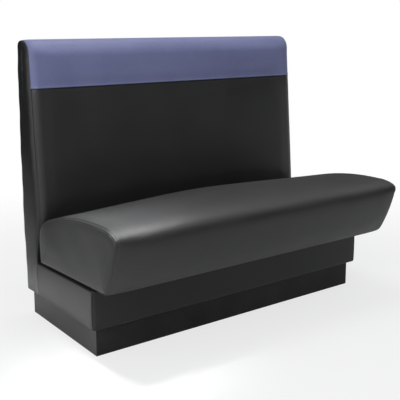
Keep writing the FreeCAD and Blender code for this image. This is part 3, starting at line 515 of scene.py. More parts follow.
blackVinyl = {"colour": (0.0075, 0.0075, 0.0078), "lighter": (0.0125, 0.0125, 0.013), "grains": 620,
              "grainDepth": 0.00014, "domeEdge": 0.28, "bend": 0.0011, "skin": 0.22, "skinFineness": 3.1,
              "creases": 0.35, "sheen": 0.03}
seatVinyl = coatedVinyl("seatVinyl", {**blackVinyl, "polished": 0.42, "dull": 0.57, "specular": 0.47,
                                      "sheen": 0.06})
backVinyl = coatedVinyl("backVinyl", {**blackVinyl, "polished": 0.38, "dull": 0.52, "specular": 0.4})
apronVinyl = coatedVinyl("apronVinyl", {**blackVinyl, "colour": (0.0065, 0.0065, 0.0068),
                                        "lighter": (0.0105, 0.0105, 0.011), "polished": 0.36, "dull": 0.5,
                                        "specular": 0.3})
bandVinyl = coatedVinyl("bandVinyl", {**blackVinyl, "colour": (0.119, 0.131, 0.252),
                                      "lighter": (0.147, 0.16, 0.294), "creases": 0.3, "polished": 0.42,
                                      "dull": 0.58, "specular": 0.28, "sheen": 0.02})


def plainThread(name, colour):
    material, tree, bsdf, spot = shader(name)
    ply = waveAt(tree, spot, {"Scale": 900, "Distortion": 1.2, "Detail": 1.0}, bands_direction="DIAGONAL")
    # the grooves between the plies get a darker colour: painted shade in the thread's twist
    plyGrooveShade = tuple(0.7 * c for c in colour)
    feed(tree, bsdf, {"Base Color": ramp(tree, ply, [(0.0, plyGrooveShade), (1.0, colour)]),
                      "Normal": raised(tree, ply, 0.0001), "Roughness": 0.5, "Sheen Weight": 0.2})
    return material


def sawnWood(name, look):
    # grain lines along one axis, warmer late wood, slow changes of tone
    material, tree, bsdf, spot = shader(name, stretched(look["along"], 0.06))
    rings = waveAt(tree, spot, {"Scale": look["rings"], "Distortion": 5.5, "Detail": 3.0, "Detail Scale": 1.4,
                                "Detail Roughness": 0.6}, wave_type="RINGS", rings_direction=look["along"])
    fibre = noiseAt(tree, spot, 420, 5, 0.7)
    tone = summed(tree, summed(tree, rings, fibre, 0.55), noiseAt(tree, spot, 9, 3, 0.5), 0.5)
    colours = [(0.35, look["early"]), (0.95, look["middle"]), (1.0, look["late"])]
    feed(tree, bsdf, {"Base Color": ramp(tree, tone, colours), "Normal": raised(tree, fibre, 0.00025),
                      "Roughness": scaledTo(tree, fibre, 0.55, 0.8), "Specular IOR Level": 0.3})
    return material


def plywood(name, across):
    # veneer on the faces and stacked plies on the edges of a board that is thin along one axis
    look = {"ply": 0.0036, "faceFrom": 0.7}
    material, tree, bsdf, edgeSpot = shader(name)
    spot = placed(tree, stretched("Z" if across == "X" else "X", 0.05))
    figure = waveAt(tree, spot, {"Scale": 16, "Distortion": 9, "Detail": 4.0, "Detail Scale": 1.1,
                                 "Detail Roughness": 0.62}, wave_type="BANDS",
                    bands_direction="Z" if across == "Y" else "Y")
    fibre = noiseAt(tree, spot, 380, 5, 0.7)
    veneer = [(0.3, (0.56, 0.39, 0.22)), (0.75, (0.66, 0.48, 0.29)), (1.0, (0.50, 0.33, 0.18))]
    face = ramp(tree, summed(tree, figure, fibre, 0.6), veneer)
    count = maths(tree, "MULTIPLY", axisOf(tree, edgeSpot, across), 2 * math.pi / look["ply"])
    plies = summed(tree, maths(tree, "SINE", count), noiseAt(tree, edgeSpot, 500, 3, 0.6), 0.8)
    edge = ramp(tree, scaledTo(tree, plies, 0, 1), [(0.2, (0.30, 0.18, 0.09)), (0.8, (0.62, 0.45, 0.27))])
    facing = put(tree, "ShaderNodeNewGeometry").outputs["Normal"]
    flatness = maths(tree, "ABSOLUTE", axisOf(tree, facing, across))
    onFace = maths(tree, "GREATER_THAN", flatness, look["faceFrom"])
    mix = put(tree, "ShaderNodeMix", {"Factor": onFace, 6: edge, 7: face}, data_type="RGBA")
    feed(tree, bsdf, {"Base Color": mix.outputs[2], "Normal": raised(tree, fibre, 0.0002),
                      "Roughness": scaledTo(tree, fibre, 0.5, 0.75), "Specular IOR Level": 0.3})
    return material


def satinLaminate(name):
    # black laminate with fine pits and a haze, and scuffs that gather by the floor
    look = {"scuffHeight": 0.035, "dark": (0.006, 0.006, 0.0064), "light": (0.028, 0.028, 0.028)}
    material, tree, bsdf, spot = shader(name)
    haze = noiseAt(tree, spot, 7, 4, 0.6)
    scuff = noiseAt(tree, placed(tree, (1, 1, 9)), 34, 6, 0.75, 1.2)
    low = scaledTo(tree, axisOf(tree, spot, "Z"), 1.0, 0.0, look["scuffHeight"])
    worn = maths(tree, "MULTIPLY", low, ramp(tree, scuff, [(0.52, (0, 0, 0)), (0.72, (1, 1, 1))]))
    tone = ramp(tree, summed(tree, haze, worn, 0.5), [(0.3, look["dark"]), (1.0, look["light"])])
    polish = scaledTo(tree, summed(tree, haze, worn, 0.4), 0.34, 0.5)
    feed(tree, bsdf, {"Base Color": tone, "Roughness": polish,
                      "Normal": raised(tree, noiseAt(tree, spot, 900, 4, 0.65), 0.00006),
                      "Specular IOR Level": 0.18})
    return material


def bareMetal(name, look):
    material, tree, bsdf, spot = shader(name)
    drawn = noiseAt(tree, placed(tree, (1, 12, 12)), 300, 3, 0.6)
    tone = summed(tree, noiseAt(tree, spot, 60, 5, 0.65), drawn, 0.4)
    feed(tree, bsdf, {"Base Color": ramp(tree, tone, [(0.4, look["dark"]), (1.0, look["light"])]),
                      "Roughness": scaledTo(tree, tone, look["polished"], look["dull"]),
                      "Normal": raised(tree, drawn, 0.00003), "Metallic": 1})
    return material


def feltCloth(name, look):
    # matted fibres without a weave
    material, tree, bsdf, spot = shader(name)
    fibres = noiseAt(tree, spot, 1400, 5, 0.75, 1.5)
    tone = summed(tree, fibres, noiseAt(tree, spot, 70, 4, 0.6), 0.7)
    feed(tree, bsdf, {"Base Color": ramp(tree, tone, [(0.5, look["dark"]), (1.0, look["light"])]),
                      "Normal": raised(tree, fibres, 0.0005), "Roughness": 0.95, "Sheen Weight": 0.25,
                      "Specular IOR Level": 0.2})
    return material


blackThread = plainThread("blackThread", (0.03, 0.03, 0.032))
plyX, plyY, plyZ = (plywood("plywoodAcross" + axis, axis) for axis in "XYZ")
pine = {"early": (0.78, 0.60, 0.38), "middle": (0.70, 0.50, 0.29), "late": (0.52, 0.33, 0.17), "rings": 26}
pineX, pineY, pineZ = (sawnWood("pineAlong" + axis, {**pine, "along": axis}) for axis in "XYZ")
# pine stained near black, as makers blacken wood that shows through gaps; the dark colour is also painted
# shade for the shadowed gaps under and behind the seat
stainAndGapShadePine = sawnWood("stainAndGapShadePine", {"early": (0.012, 0.012, 0.012), "middle": (0.02, 0.019, 0.018),
                                       "late": (0.03, 0.028, 0.026), "rings": 26, "along": "X"})
laminate = satinLaminate("blackLaminate")
springSteel = bareMetal("springSteel", {"dark": (0.10, 0.105, 0.115), "light": (0.24, 0.25, 0.27),
                                        "polished": 0.32, "dull": 0.5})
zincSteel = bareMetal("zincSteel", {"dark": (0.46, 0.47, 0.48), "light": (0.68, 0.69, 0.70),
                                    "polished": 0.25, "dull": 0.42})
greyFelt = feltCloth("greyFelt", {"dark": (0.16, 0.155, 0.15), "light": (0.42, 0.41, 0.40)})
blackCambric = feltCloth("blackCambric", {"dark": (0.010, 0.010, 0.011), "light": (0.035, 0.035, 0.037)})

# the nodes that are shown as they are; boards are thin across an axis, rails lie along one
nodesOf = [
    (plyX, "kick_left_board kick_right_board kick_cross_boards box_left_board box_right_board"
           " box_cross_boards back_left_upright back_right_upright back_inner_uprights"),
    (plyY, "kick_front_board kick_rear_board box_front_board back_front_panel back_rear_panel"),
    (plyZ, "box_floor_panel"),
    (pineX, "back_lumbar_rail back_rear_rails back_head_rail seat_front_rail seat_rear_rail"),
    (pineY, "seat_left_rail seat_right_rail seat_cross_rails"),
    (pineZ, "kick_corner_blocks box_corner_blocks"),
    # rails and battens in the gaps round the seat: black stain, and painted shade of the gaps
    (stainAndGapShadePine, "box_rear_rail back_seat_rail seat_battens seat_locating_blocks"),
    (laminate, "kick_front_facing kick_left_facing kick_right_facing"),
    (springSteel, "seat_springs spring_clips"),
    (zincSteel, "floor_panel_screws back_bolts bolt_washers bolt_nuts"),
]
for material, names in nodesOf:
    for name in names.split():
        for place in nodes[name].material_slots:
            place.material = material
print("materials made")


seat = {
    "toeY": -0.2915, "heelY": 0.2055, "noseY": -0.3675, "gap": 0.017, "rearTop": 0.417, "crest": 0.492,
    "crestBack": 0.09, "browRise": 0.005, "noseZ": 0.460, "noseRadius": 0.022, "shoulder": 60, "chin": 22,
    "toeRadius": 0.009, "cornerCut": 0.29, "bow": 0.018, "frontBow": 0.007, "backGap": 0.0042,
    "restGap": 0.0034, "crown": 0.007, "rearCrown": 0.015, "crownReach": 0.62,
    "tightCorner": 0.026, "looseCorner": 0.078,
    "seamHalf": 0.652, "sewnNose": 0.008, "sewnTop": 0.003, "anchorShare": 0.25, "return": 0.046,
    "sewnAt": (0, 0.558, 0.6, 0.634, 0.652, 0.7), "sewnShare": (0, 0, 0.2, 0.6, 1, 1),
    "easing": 3, "roundEasing": 90, "roundFrom": -0.05, "roundOver": 0.15,
    "stationsSim": 110, "columnsSim": 104, "undersideSim": 30, "slackSteps": 8, "columns": 154,
    "run": 0.95, "inside": (0, -0.06, 0.36),
}
seatCloth = {**clothSettings, "pressure": 4, "cap": 0.012, "drawn": 0.003, "calming": 4,
             "inside": seat["inside"], "capPlace": seat["inside"][1:]}
seamHalf = seat["seamHalf"]


def boxTop(y):
    return bench["apronTop"] - (y - bench["boxFrontY"]) * bench["pitch"]


def underSeat(y):
    return boxTop(y) + seat["gap"]


def backFace(z):
    # how far to the rear the back's leaning front stands at a height
    return bench["rearY"] - bench["lumbarDepth"] + (z - bench["lumbarZ"]) * bench["backSlope"]


def seatProfile(crown, corner, sewn, count):
    # the cushion's outline from the heel over the top to the toe; each stretch's own count only sets how
    # fine it is drawn, because the whole line is spaced out again
    toe, heel, nose = seat["toeY"], seat["heelY"], seat["noseY"]
    rearTop = seat["rearTop"] + crown * seat["rearCrown"]
    crest = seat["crest"] + crown * seat["crown"]
    contact = backFace(rearTop) - seat["backGap"]
    lean = (contact - heel) / (rearTop - underSeat(heel))
    crestY = nose + seat["crestBack"]
    fall = (crest - rearTop) / (contact - crestY)
    roll, noseZ = seat["noseRadius"], seat["noseZ"]
    above, below = math.radians(seat["shoulder"]), math.radians(seat["chin"])
    shoulder = (nose + roll * (1 - math.cos(above)), noseZ + roll * math.sin(above))
    chin = (nose + roll * (1 - math.cos(below)), noseZ - roll * math.sin(below))
    frontLean = (toe - chin[0]) / (chin[1] - underSeat(toe))
    radius, cut = seat["toeRadius"], seat["cornerCut"]
    low = (contact - corner * lean, rearTop - corner)
    high = (contact - corner, rearTop + corner * fall)
    top = ((contact + crestY) / 2, (crest + rearTop) / 2 + seat["bow"])
    brow = ((crestY + shoulder[0]) / 2, (crest + shoulder[1]) / 2 + seat["browRise"])
    toeHigh = (toe - radius * frontLean, underSeat(toe) + radius)
    toeTurn = (toe + radius * cut * (1 - frontLean), underSeat(toe) + radius * cut)
    across, up = toeHigh[0] - chin[0], toeHigh[1] - chin[1]
    length = math.hypot(across, up)
    front = ((chin[0] + toeHigh[0]) / 2 + seat["frontBow"] * up / length,
             (chin[1] + toeHigh[1]) / 2 - seat["frontBow"] * across / length)
    line = [(heel, underSeat(heel))]
    line += straight(line[-1], low, 24)
    line += arcPoints(low, (contact - corner * cut, rearTop - corner * cut), high, 16)
    line += arcPoints(high, top, (crestY, crest), 60)
    line += arcPoints((crestY, crest), brow, shoulder, 24)
    line += arcPoints(shoulder, (nose, noseZ), chin, 16)
    line += arcPoints(chin, front, toeHigh, 36)
    line += arcPoints(toeHigh, toeTurn, (toe + radius, underSeat(toe + radius)), 8)
    line = spaced(line, count)
    close, full = eased(line, seat["easing"]), eased(line, seat["roundEasing"])
    forward = np.clip((line[:, :1] - seat["roundFrom"]) / -seat["roundOver"], 0, 1) * (1 - sewn)
    line = close + (full - close) * forward
    base = underSeat(nose)
    anchor = heel - seat["anchorShare"] * (heel - nose)
    line[:, 0] += sewn * seat["sewnNose"] * (anchor - line[:, 0]) / (anchor - nose)
    line[:, 1] -= sewn * seat["sewnTop"] * (line[:, 1] - base) / (seat["crest"] - base)
    return line


def seatRow(x, count):
    away = abs(x)
    crown = math.cos(math.pi / 2 * min(1, away / seat["crownReach"])) ** 2
    sewn = float(flowing(away, seat["sewnAt"], seat["sewnShare"]))
    corner = seat["looseCorner"] + crown * (seat["tightCorner"] - seat["looseCorner"])
    line = seatProfile(crown, corner, sewn, count)
    return np.column_stack([np.full(count, x), line])


def closedLoops(rows, count):
    # adds a straight underside to open rows, so that each is a loop
    return np.array([np.concatenate([row, spaced([row[-1], row[0]], count + 2)[1:-1]]) for row in rows])


simX = np.linspace(-seamHalf, seamHalf, seat["stationsSim"])
simRows = np.array([seatRow(x, seat["columnsSim"]) for x in simX])
simLoops = closedLoops(simRows, seat["undersideSim"])
held = np.ones(simLoops.shape[:2])
held[1:-1, 1:seat["columnsSim"] - 1] = 0
along, across = (ramped(seat[key], seat["slackSteps"]) for key in ("stationsSim", "columnsSim"))
slack = along[:, None] * across
drift = drawnAndSwelled("seatForm", simRows, simLoops, held, slack, seatCloth)
print("seat cushion swelled")

# the seam's own shape, by distance from it: a sunk line, two raised hems, a dip at each row of stitches
seam = {"sink": 0.0008, "sinkWidth": 0.0013, "cornerSink": 0.0014, "cornerWidth": 0.0032, "cornerZ": 0.468,
        "cornerFade": 0.03, "hem": 0.0016, "hemAt": 0.0031, "hemWidth": 0.0013, "secondHem": 0.8,
        "secondAt": 0.0088, "secondWidth": 0.0018, "dip": 0.0012, "dipWidth": 0.001, "rowAt": 0.0058,
        "near": [-0.0025, 0, 0.0008, 0.0016, 0.0025, 0.0035, 0.0046, 0.0058, 0.007, 0.009, 0.012, 0.016,
                 0.021],  # starts with the edge that goes in under the end panel
        "middleFrom": 0.027, "middles": 206, "tuck": 0.0016}
pucker = {"height": 0.00035, "lengths": (0.011, 0.017, 0.029, 0.043), "reach": 0.012}


def stationsOf(half, look):
    # places along a cover, closest together by the seams at its two ends
    near, middleHalf = np.array(look["near"]), half - look["middleFrom"]
    middles = np.linspace(-middleHalf, middleHalf, look["middles"])
    return np.concatenate([near - half, middles, (half - near)[::-1]])


def simStepsOf(places, half, count):
    # where places along a cover lie among the simulated cloth's own stations
    return np.clip(places / (2 * half) + 0.5, 0, 1) * (count - 1)


def bump(distance, at, width):
    return np.exp(-((distance - at) / width) ** 2)


def seamShape(distance, height):
    # the relief beside the end seam, at a height above the floor
    d = np.asarray(distance, float)
    low = np.clip((seam["cornerZ"] - np.asarray(height, float)) / seam["cornerFade"], 0, 1)
    width = seam["sinkWidth"] + seam["cornerWidth"] * low
    return (-(seam["sink"] + low * seam["cornerSink"]) * bump(d, 0, width)
            + (1 - low) * seam["hem"] * bump(d, seam["hemAt"], seam["hemWidth"])
            + (1 - low) * seam["secondHem"] * seam["hem"] * bump(d, seam["secondAt"], seam["secondWidth"])
            - seam["dip"] * bump(d, seam["rowAt"], seam["dipWidth"]))


def puckers(run, distance, seed):
    # little gathers that die away from a seam
    return pucker["height"] * waves(run, pucker["lengths"], seed) * np.exp(-distance / pucker["reach"])


def seatTopRows():
    # the top cover's rows: the swelled profile with its seams, gathers and slow waves
    xs = stationsOf(seamHalf, seam)
    stepX = simStepsOf(xs, seamHalf, seat["stationsSim"])
    stepS = np.linspace(0, seat["columnsSim"] - 1, seat["columns"])
    rows = np.array([seatRow(x, seat["columns"]) for x in xs]) + betweenColumns(between(drift, stepX), stepS)
    fromSeam = seamHalf - np.abs(xs)
    run = np.linspace(0, seat["run"], seat["columns"])
    relief = seamShape(fromSeam[:, None], rows[..., 2]) + np.array([
        puckers(run, distance, 1 if x < 0 else 4) for x, distance in zip(xs, fromSeam)])
    calm = np.clip((run - 0.2) / 0.1, 0, 1) * np.minimum(1, run[::-1] / 0.05)
    slow = (rippled(xs[:, None], run[None, :], 0.0010, 11, 1.3, 9, 0.4)
            + rippled(xs[:, None], run[None, :], 0.0003, 37, 0, 21, 1.0, slant=9))
    relief = relief + slow * calm[None, :] * np.clip(fromSeam / 0.05, 0, 1)[:, None]
    relief[[0, -1]] -= seam["tuck"]
    rows = rows + outwardOf(rows, seat["inside"]) * relief[..., None]
    rest = backFace(np.maximum(rows[..., 2], bench["lumbarZ"])) - seat["restGap"]
    rows[..., 1] = np.minimum(rows[..., 1], rest)  # the rear rests against the back
    return xs, rows


fineX, topRows = seatTopRows()
# the covers turn under the cushion at the toe and the heel
underSteps = np.linspace(0.004, seat["return"], 7)
fullRows = []
for x, row in zip(fineX, topRows):
    ripple = 0.0004 * math.sin(x * 190) + 0.0003 * math.sin(x * 83 + 1)
    heelY, toeY = row[0, 1], row[-1, 1]
    heelTurn = [(x, heelY - d, underSeat(heelY - d) + ripple * d / seat["return"]) for d in underSteps[::-1]]
    toeTurn = [(x, toeY + d, underSeat(toeY + d) + ripple * d / seat["return"]) for d in underSteps]
    fullRows.append(np.concatenate([heelTurn, row, toeTurn]))
fullRows = np.array(fullRows)
seatTop = surface("seatTopPanel", fullRows, gridFaces(*fullRows.shape[:2]), inside=seat["inside"])
finished(thickened(seatTop), seatVinyl, "seat", ("seat_top_cover", "seat_foam"))

innerShare = 0.94  # how far in towards the middle line an end panel's last ring lies


def ringed(loop, spine, near, inwards):
    # rings from a loop in towards a line, with each ring's distance from the loop
    start, end = np.array(spine)
    span = np.linalg.norm(end - start)
    direction = (end - start) / span
    at = np.clip((loop - start) @ direction, 0, span)
    away = start + at[:, None] * direction - loop
    length = np.linalg.norm(away, axis=1, keepdims=True)
    rings = [loop + away / length * np.minimum(d, 0.9 * length) for d in near]
    distances = [np.minimum(d, 0.9 * length[:, 0]) for d in near]
    first = near[-1] / length
    for k in range(1, inwards + 1):
        share = first + (innerShare - first) * k / inwards
        rings.append(loop + away * share)
        distances.append(length[:, 0] * share[:, 0])
    return np.array(rings), np.array(distances)


def zipped(places, start):
    # closes a long thin ring with triangles from side to side, by each point's place along it
    count = len(places)
    low, high = int(np.argmin(places)), int(np.argmax(places))
    one = [(low + k) % count for k in range((high - low) % count + 1)]
    two = [(low - k) % count for k in range((low - high) % count + 1)]
    i = j = 0
    faces = []
    while i < len(one) - 1 or j < len(two) - 1:
        if j == len(two) - 1 or (i < len(one) - 1 and places[one[i + 1]] < places[two[j + 1]]):
            faces.append([one[i], one[i + 1], two[j]])
            i += 1
        else:
            faces.append([one[i], two[j + 1], two[j]])
            j += 1
    return [[start + k for k in face] for face in faces if len(set(face)) == 3]


seatEndLook = {"near": [0, 0.0008, 0.0016, 0.0025, 0.0035, 0.0046, 0.0058, 0.007, 0.009, 0.0115, 0.014, 0.017,
                        0.0205, 0.025, 0.031, 0.039], "inwards": 13, "spine": ((-0.26, 0.375), (0.12, 0.335)),
               "rollDepth": 0.032, "rollOut": 0.0125, "bulge": 0.0055, "underPoints": 70, "fold": 0.035}


def seatEnd(side):
    # the pillowed end panel and its turned-under edge
    look = seatEndLook
    flat = topRows[1 if side < 0 else -2][:, 1:]
    loop = closedLoops([flat], look["underPoints"])[0]
    rings, distances = ringed(loop, look["spine"], look["near"], look["inwards"])
    turn = np.clip(distances / look["rollDepth"], 0, 1)
    share = innerShare * distances / distances[-1]
    out = look["rollOut"] * np.sqrt(1 - (1 - turn) ** 2) + look["bulge"] * share * share * (3 - 2 * share)
    grid = np.concatenate([(side * (seamHalf + out))[..., None], rings], 2)
    normal = loopNormals(grid, side)
    gathers = puckers(runOf(loop)[None, :], distances, 2 if side < 0 else 7)
    sunk = seamShape(distances, rings[..., 1]) + gathers
    soft = rippled(rings[..., 0], rings[..., 1], 0.0008, 31, side, 37, 1.1) * np.clip(distances / 0.05, 0, 1)
    onTop = np.arange(len(loop)) < len(flat)
    grid += normal * (sunk * onTop + soft)[..., None]
    rows, count = grid.shape[:2]
    faces = gridFaces(rows, count, loop=True) + zipped(grid[-1, :, 1], (rows - 1) * count)
    # the edge that turns under, between the corners
    under = [k for k in range(len(flat), count)
             if seat["toeY"] + seat["return"] < loop[k, 0] < seat["heelY"] - seat["return"]]
    steps = np.linspace(0, look["fold"], 6)[1:]
    fold = [(side * (seamHalf - d), y, underSeat(y) + 0.0004 * math.sin(y * 170) * d / look["fold"])
            for d in steps for y in grid[0, under, 1]]
    begin = rows * count
    foldRows = [under] + [[begin + r * len(under) + k for k in range(len(under))] for r in range(len(steps))]
    for lower, upper in zip(foldRows[:-1], foldRows[1:]):
        for k in range(len(under) - 1):
            faces.append([lower[k], lower[k + 1], upper[k + 1], upper[k]][::side])
    word = sideWords[side]
    piece = surface("seat%sEndPanel" % word.title(), np.concatenate([grid.reshape(-1, 3), fold]), faces)
    thickened(facedOut(piece, side, begin // 2))
    finished(piece, seatVinyl, "seat", ("seat_%s_end_cover" % word,))
    return grid, normal


seatEnds = {side: seatEnd(side) for side in (-1, 1)}
print("seat covers made")


back = {
    "foamBottom": 0.290, "ledge": 0.262, "headZ": 1.000, "headDepth": 0.094, "headShares": (0.2, 0.64),
    "rollDepth": 0.050, "top": 1.067, "topInset": 0.15, "rearRadius": 0.022, "bandBottom": 0.890,
    "rearBandBottom": 1.008, "edgeRadius": 0.035, "crown": 0.003, "seamTurn": 56,
    "crownAt": (0, 0.45, 0.75, 1), "crownShare": (1, 0.9, 0.6, 0),
    "panelColumns": 84, "bandColumns": 46, "middles": 176, "middleFrom": 0.036,
    "stations": 104, "panelSim": 52, "bandSim": 34, "rearSim": 40, "slackSteps": 6, "inside": (0, 0.42, 0.7),
    "near": [-0.003, 0, 0.0008, 0.0016, 0.0025, 0.0036, 0.005, 0.007, 0.0095, 0.0125, 0.016, 0.02, 0.0245,
             0.03],
    "tuck": 0.0014, "railDepth": 0.085, "railFade": 0.03, "railRoom": 0.0004,
}
backCloth = {**clothSettings, "pressure": 3, "cap": 0.007, "drawn": 0.002, "calming": 5,
             "inside": back["inside"], "capPlace": (0.32, 0.7)}


def backProfile(inset, crown, panelCount, bandCount):
    # front face, rolled head and rear edge of the back at one station
    rear, base = bench["rearY"], bench["boxRearY"]
    top = back["top"] - back["topInset"] * inset
    draw = inset - crown
    lumbar = (rear - bench["lumbarDepth"] + draw, bench["lumbarZ"])
    head = (rear - back["headDepth"] + draw, back["headZ"])
    roll = back["rollDepth"] - draw / 2
    rise = top - back["headZ"]
    share = (back["foamBottom"] - back["ledge"]) / (lumbar[1] - back["ledge"])
    start = (base + (lumbar[0] - base) * share, back["foamBottom"])
    seamY = lumbar[0] + (head[0] - lumbar[0]) * (back["bandBottom"] - lumbar[1]) / (head[1] - lumbar[1])
    corner = back["rearRadius"]
    tuck = corner * (1 - math.sqrt(0.5))
    forward, upward = back["headShares"]
    lower = [start] + straight(start, lumbar, 20) + straight(lumbar, (seamY, back["bandBottom"]), 60)
    upper = [lower[-1]] + straight(lower[-1], head, 16)
    upper += arcPoints(head, (head[0] + forward * roll, head[1] + upward * rise), (head[0] + roll, top), 26)
    upper += straight(upper[-1], (rear - corner, top), 6)
    upper += arcPoints(upper[-1], (rear - tuck, top - tuck), (rear, top - corner), 14)
    upper += straight(upper[-1], (rear, back["rearBandBottom"]), 10)
    return eased(spaced(lower, panelCount), 4), eased(spaced(upper, bandCount), 2)


flatHalf = bench["outerHalf"] - back["edgeRadius"]
backReach = flatHalf + back["edgeRadius"] * math.radians(back["seamTurn"])


def backStation(u):
    # u runs along the cover from the middle: flat, then round the end; gives x and how far it is drawn in
    away = abs(u)
    if away <= flatHalf:
        return u, 0.0, float(flowing(away / flatHalf, back["crownAt"], back["crownShare"])) * back["crown"]
    turn = (away - flatHalf) / back["edgeRadius"]
    return (math.copysign(flatHalf + back["edgeRadius"] * math.sin(turn), u),
            back["edgeRadius"] * (1 - math.cos(turn)), 0.0)


def backRow(u, panelCount, bandCount):
    x, inset, crown = backStation(u)
    lower, upper = backProfile(inset, crown, panelCount, bandCount)
    line = np.concatenate([lower, upper[1:]])
    return np.column_stack([np.full(len(line), x), line])


simPanel, simBand, rearCount = back["panelSim"], back["bandSim"], back["rearSim"]
simU = np.linspace(-backReach, backReach, back["stations"])
backSim = np.array([backRow(u, simPanel, simBand) for u in simU])
backLoops = closedLoops(backSim, rearCount)
rearTop, rearFoot = (bench["rearY"], back["rearBandBottom"]), (bench["rearY"], back["foamBottom"])
for loop in backLoops:  # closed down the rear and along the bottom instead of straight across
    closing = straight(rearTop, rearFoot, 30) + straight(rearFoot, (loop[0, 1], back["foamBottom"]), 11)
    loop[-rearCount:, 1:] = closing[:rearCount]
backHeld = np.ones(backLoops.shape[:2])
backHeld[1:-1, 1:simPanel - 1] = 0
backHeld[1:-1, simPanel:simPanel + simBand - 2] = 0
across = np.concatenate([ramped(simPanel, back["slackSteps"])[:-1], ramped(simBand, back["slackSteps"])])
backSlack = ramped(back["stations"], back["slackSteps"])[:, None] * across
backDrift = drawnAndSwelled("backForm", backSim, backLoops, backHeld, backSlack, backCloth)
print("back swelled")

panelCount, bandCount = back["panelColumns"], back["bandColumns"]


def endSeamShape(distance):
    # a fine sunk line and a low hem beside it
    return -0.0002 * bump(distance, 0, 0.0012) + 0.0003 * bump(distance, 0.003, 0.0016)


def backCoverRows():
    # the back's rows from its foot to the rear of the head, for the front cover and the band
    us = stationsOf(backReach, back)
    rows = np.array([backRow(u, panelCount, bandCount) for u in us])
    stepU = simStepsOf(us, backReach, back["stations"])
    stepV = np.concatenate([np.linspace(0, simPanel - 1, panelCount),
                            np.linspace(simPanel - 1, simPanel + simBand - 2, bandCount)[1:]])
    extra = betweenColumns(between(backDrift, stepU), stepV)
    out = outwardOf(rows, back["inside"])
    # over the head rail the cover can swell but not sink, because the wood is close under it
    sunkBy = np.minimum(0, np.einsum("ijk,ijk->ij", extra, out) - back["railRoom"])
    overRail = np.clip((rows[..., 1] - (bench["rearY"] - back["railDepth"])) / back["railFade"], 0, 1)
    rows = rows + extra - out * (sunkBy * overRail)[..., None]
    out = outwardOf(rows, back["inside"])
    gaps = backReach - np.abs(us)
    run = runOf(rows[len(us) // 2])
    relief = endSeamShape(gaps)[:, None] + 0.6 * np.array([
        puckers(run, gap, 11 if u < 0 else 13) for u, gap in zip(us, gaps)])
    relief[[0, -1]] -= back["tuck"]  # the outer edges go in under the end panels
    return us, rows + out * relief[..., None], out, run


fineU, backRows, backOut, backRun = backCoverRows()


def gathered(rows, normals, lift, gap, look, seed):
    # lifts a cover's rows off their base, with gathers that fade away from the cross seam
    folds = look["gathers"] * waves(fineU, look["gatherLengths"], seed)
    fading = np.exp(-gap / look["gatherReach"])
    return rows + normals * (lift[None, :] + folds[:, None] * fading[None, :])[..., None]


# front panel: its top edge goes in under the band's hem, its foot turns down behind the seat
panel = {
    "under": 0.0028, "underWidth": 0.006, "gathers": 0.0006, "gatherLengths": (0.013, 0.021, 0.034),
    "gatherReach": 0.02, "tucks": (0.004, 0.008, 0.012), "tuckIn": 0.0004, "footWidth": 1.007,
    "foot": ((0.2669, 0.2329), (0.2669, 0.244), (0.2668, 0.253), (0.2662, 0.262), (0.2648, 0.269),
             (0.2628, 0.276), (0.2605, 0.283)),
}
panelOut = backOut[:, :panelCount]
seamGap = backRun[panelCount - 1] - backRun[:panelCount]
slide = -panel["under"] * bump(seamGap, 0, panel["underWidth"])
panelRows = gathered(backRows[:, :panelCount], panelOut, slide, seamGap, panel, 5)
rise = unit(panelRows[:, -1:] - panelRows[:, -2:-1])
tucks = [panelRows[:, -1:] + rise * d - panelOut[:, -1:] * panel["tuckIn"] for d in panel["tucks"]]
foot = np.repeat(panelRows[:, :1], len(panel["foot"]), axis=1)
foot[..., 0] *= panel["footWidth"]  # tucked in behind the end panels
foot[..., 1:] = panel["foot"]
panelRows = np.concatenate([foot, panelRows] + tucks, 1)
frontPanel = surface("backFrontPanel", panelRows, gridFaces(*panelRows.shape[:2]), inside=back["inside"])
stands = ("back_front_cover", "back_front_foam")
finished(thickened(frontPanel), backVinyl, "booth", stands)

# head band: extra rows near its hem carry the rolled edge
band = {
    "hemRows": (0, 0.0006, 0.0013, 0.0022, 0.0034, 0.005, 0.0072, 0.010),
    "lipAt": (0, 0.0006, 0.0013, 0.0022, 0.0034, 0.005, 0.0072, 0.010, 0.016, 1),
    "lip": (-0.0006, 0.0008, 0.0014, 0.0017, 0.0017, 0.0014, 0.0007, 0.0006, 0.0002, 0),
    "gathers": 0.0005, "gatherLengths": (0.015, 0.024, 0.041), "gatherReach": 0.025,
}
bandRun = backRun[panelCount - 1:] - backRun[panelCount - 1]
bandSteps = np.arange(len(bandRun))
hemAt = np.interp(band["hemRows"], bandRun, bandSteps)
bandAt = np.unique(np.concatenate([hemAt, bandSteps[2:].astype(float)]))
bandRows = betweenColumns(backRows[:, panelCount - 1:], bandAt)
bandNormals = unit(betweenColumns(backOut[:, panelCount - 1:], bandAt))
bandGap = np.interp(bandAt, bandSteps, bandRun)
lip = np.interp(bandGap, band["lipAt"], band["lip"])
bandRows = gathered(bandRows, bandNormals, lip, bandGap, band, 9)
headBand = surface("headBand", bandRows, gridFaces(*bandRows.shape[:2]), inside=back["inside"])
finished(thickened(headBand), bandVinyl, "booth", ("head_band_cover", "head_foam"))


def backOutline(inset, count):
    # the whole closed outline of the back's end
    lower, upper = backProfile(inset, 0, 120, 90)
    base, rear, low = bench["boxRearY"], bench["rearY"], bench["kickTop"]
    front = [(base, low)] + straight((base, low), (base, back["ledge"]), 30)
    front += straight((base, back["ledge"]), tuple(lower[0]), 8)
    line = front[:-1] + [tuple(p) for p in lower] + [tuple(p) for p in upper[1:]]
    line += straight((rear, back["rearBandBottom"]), (rear, low), 160)
    line += straight((rear, low), (base, low), 24)
    return spaced(line, count + 1)[:-1]


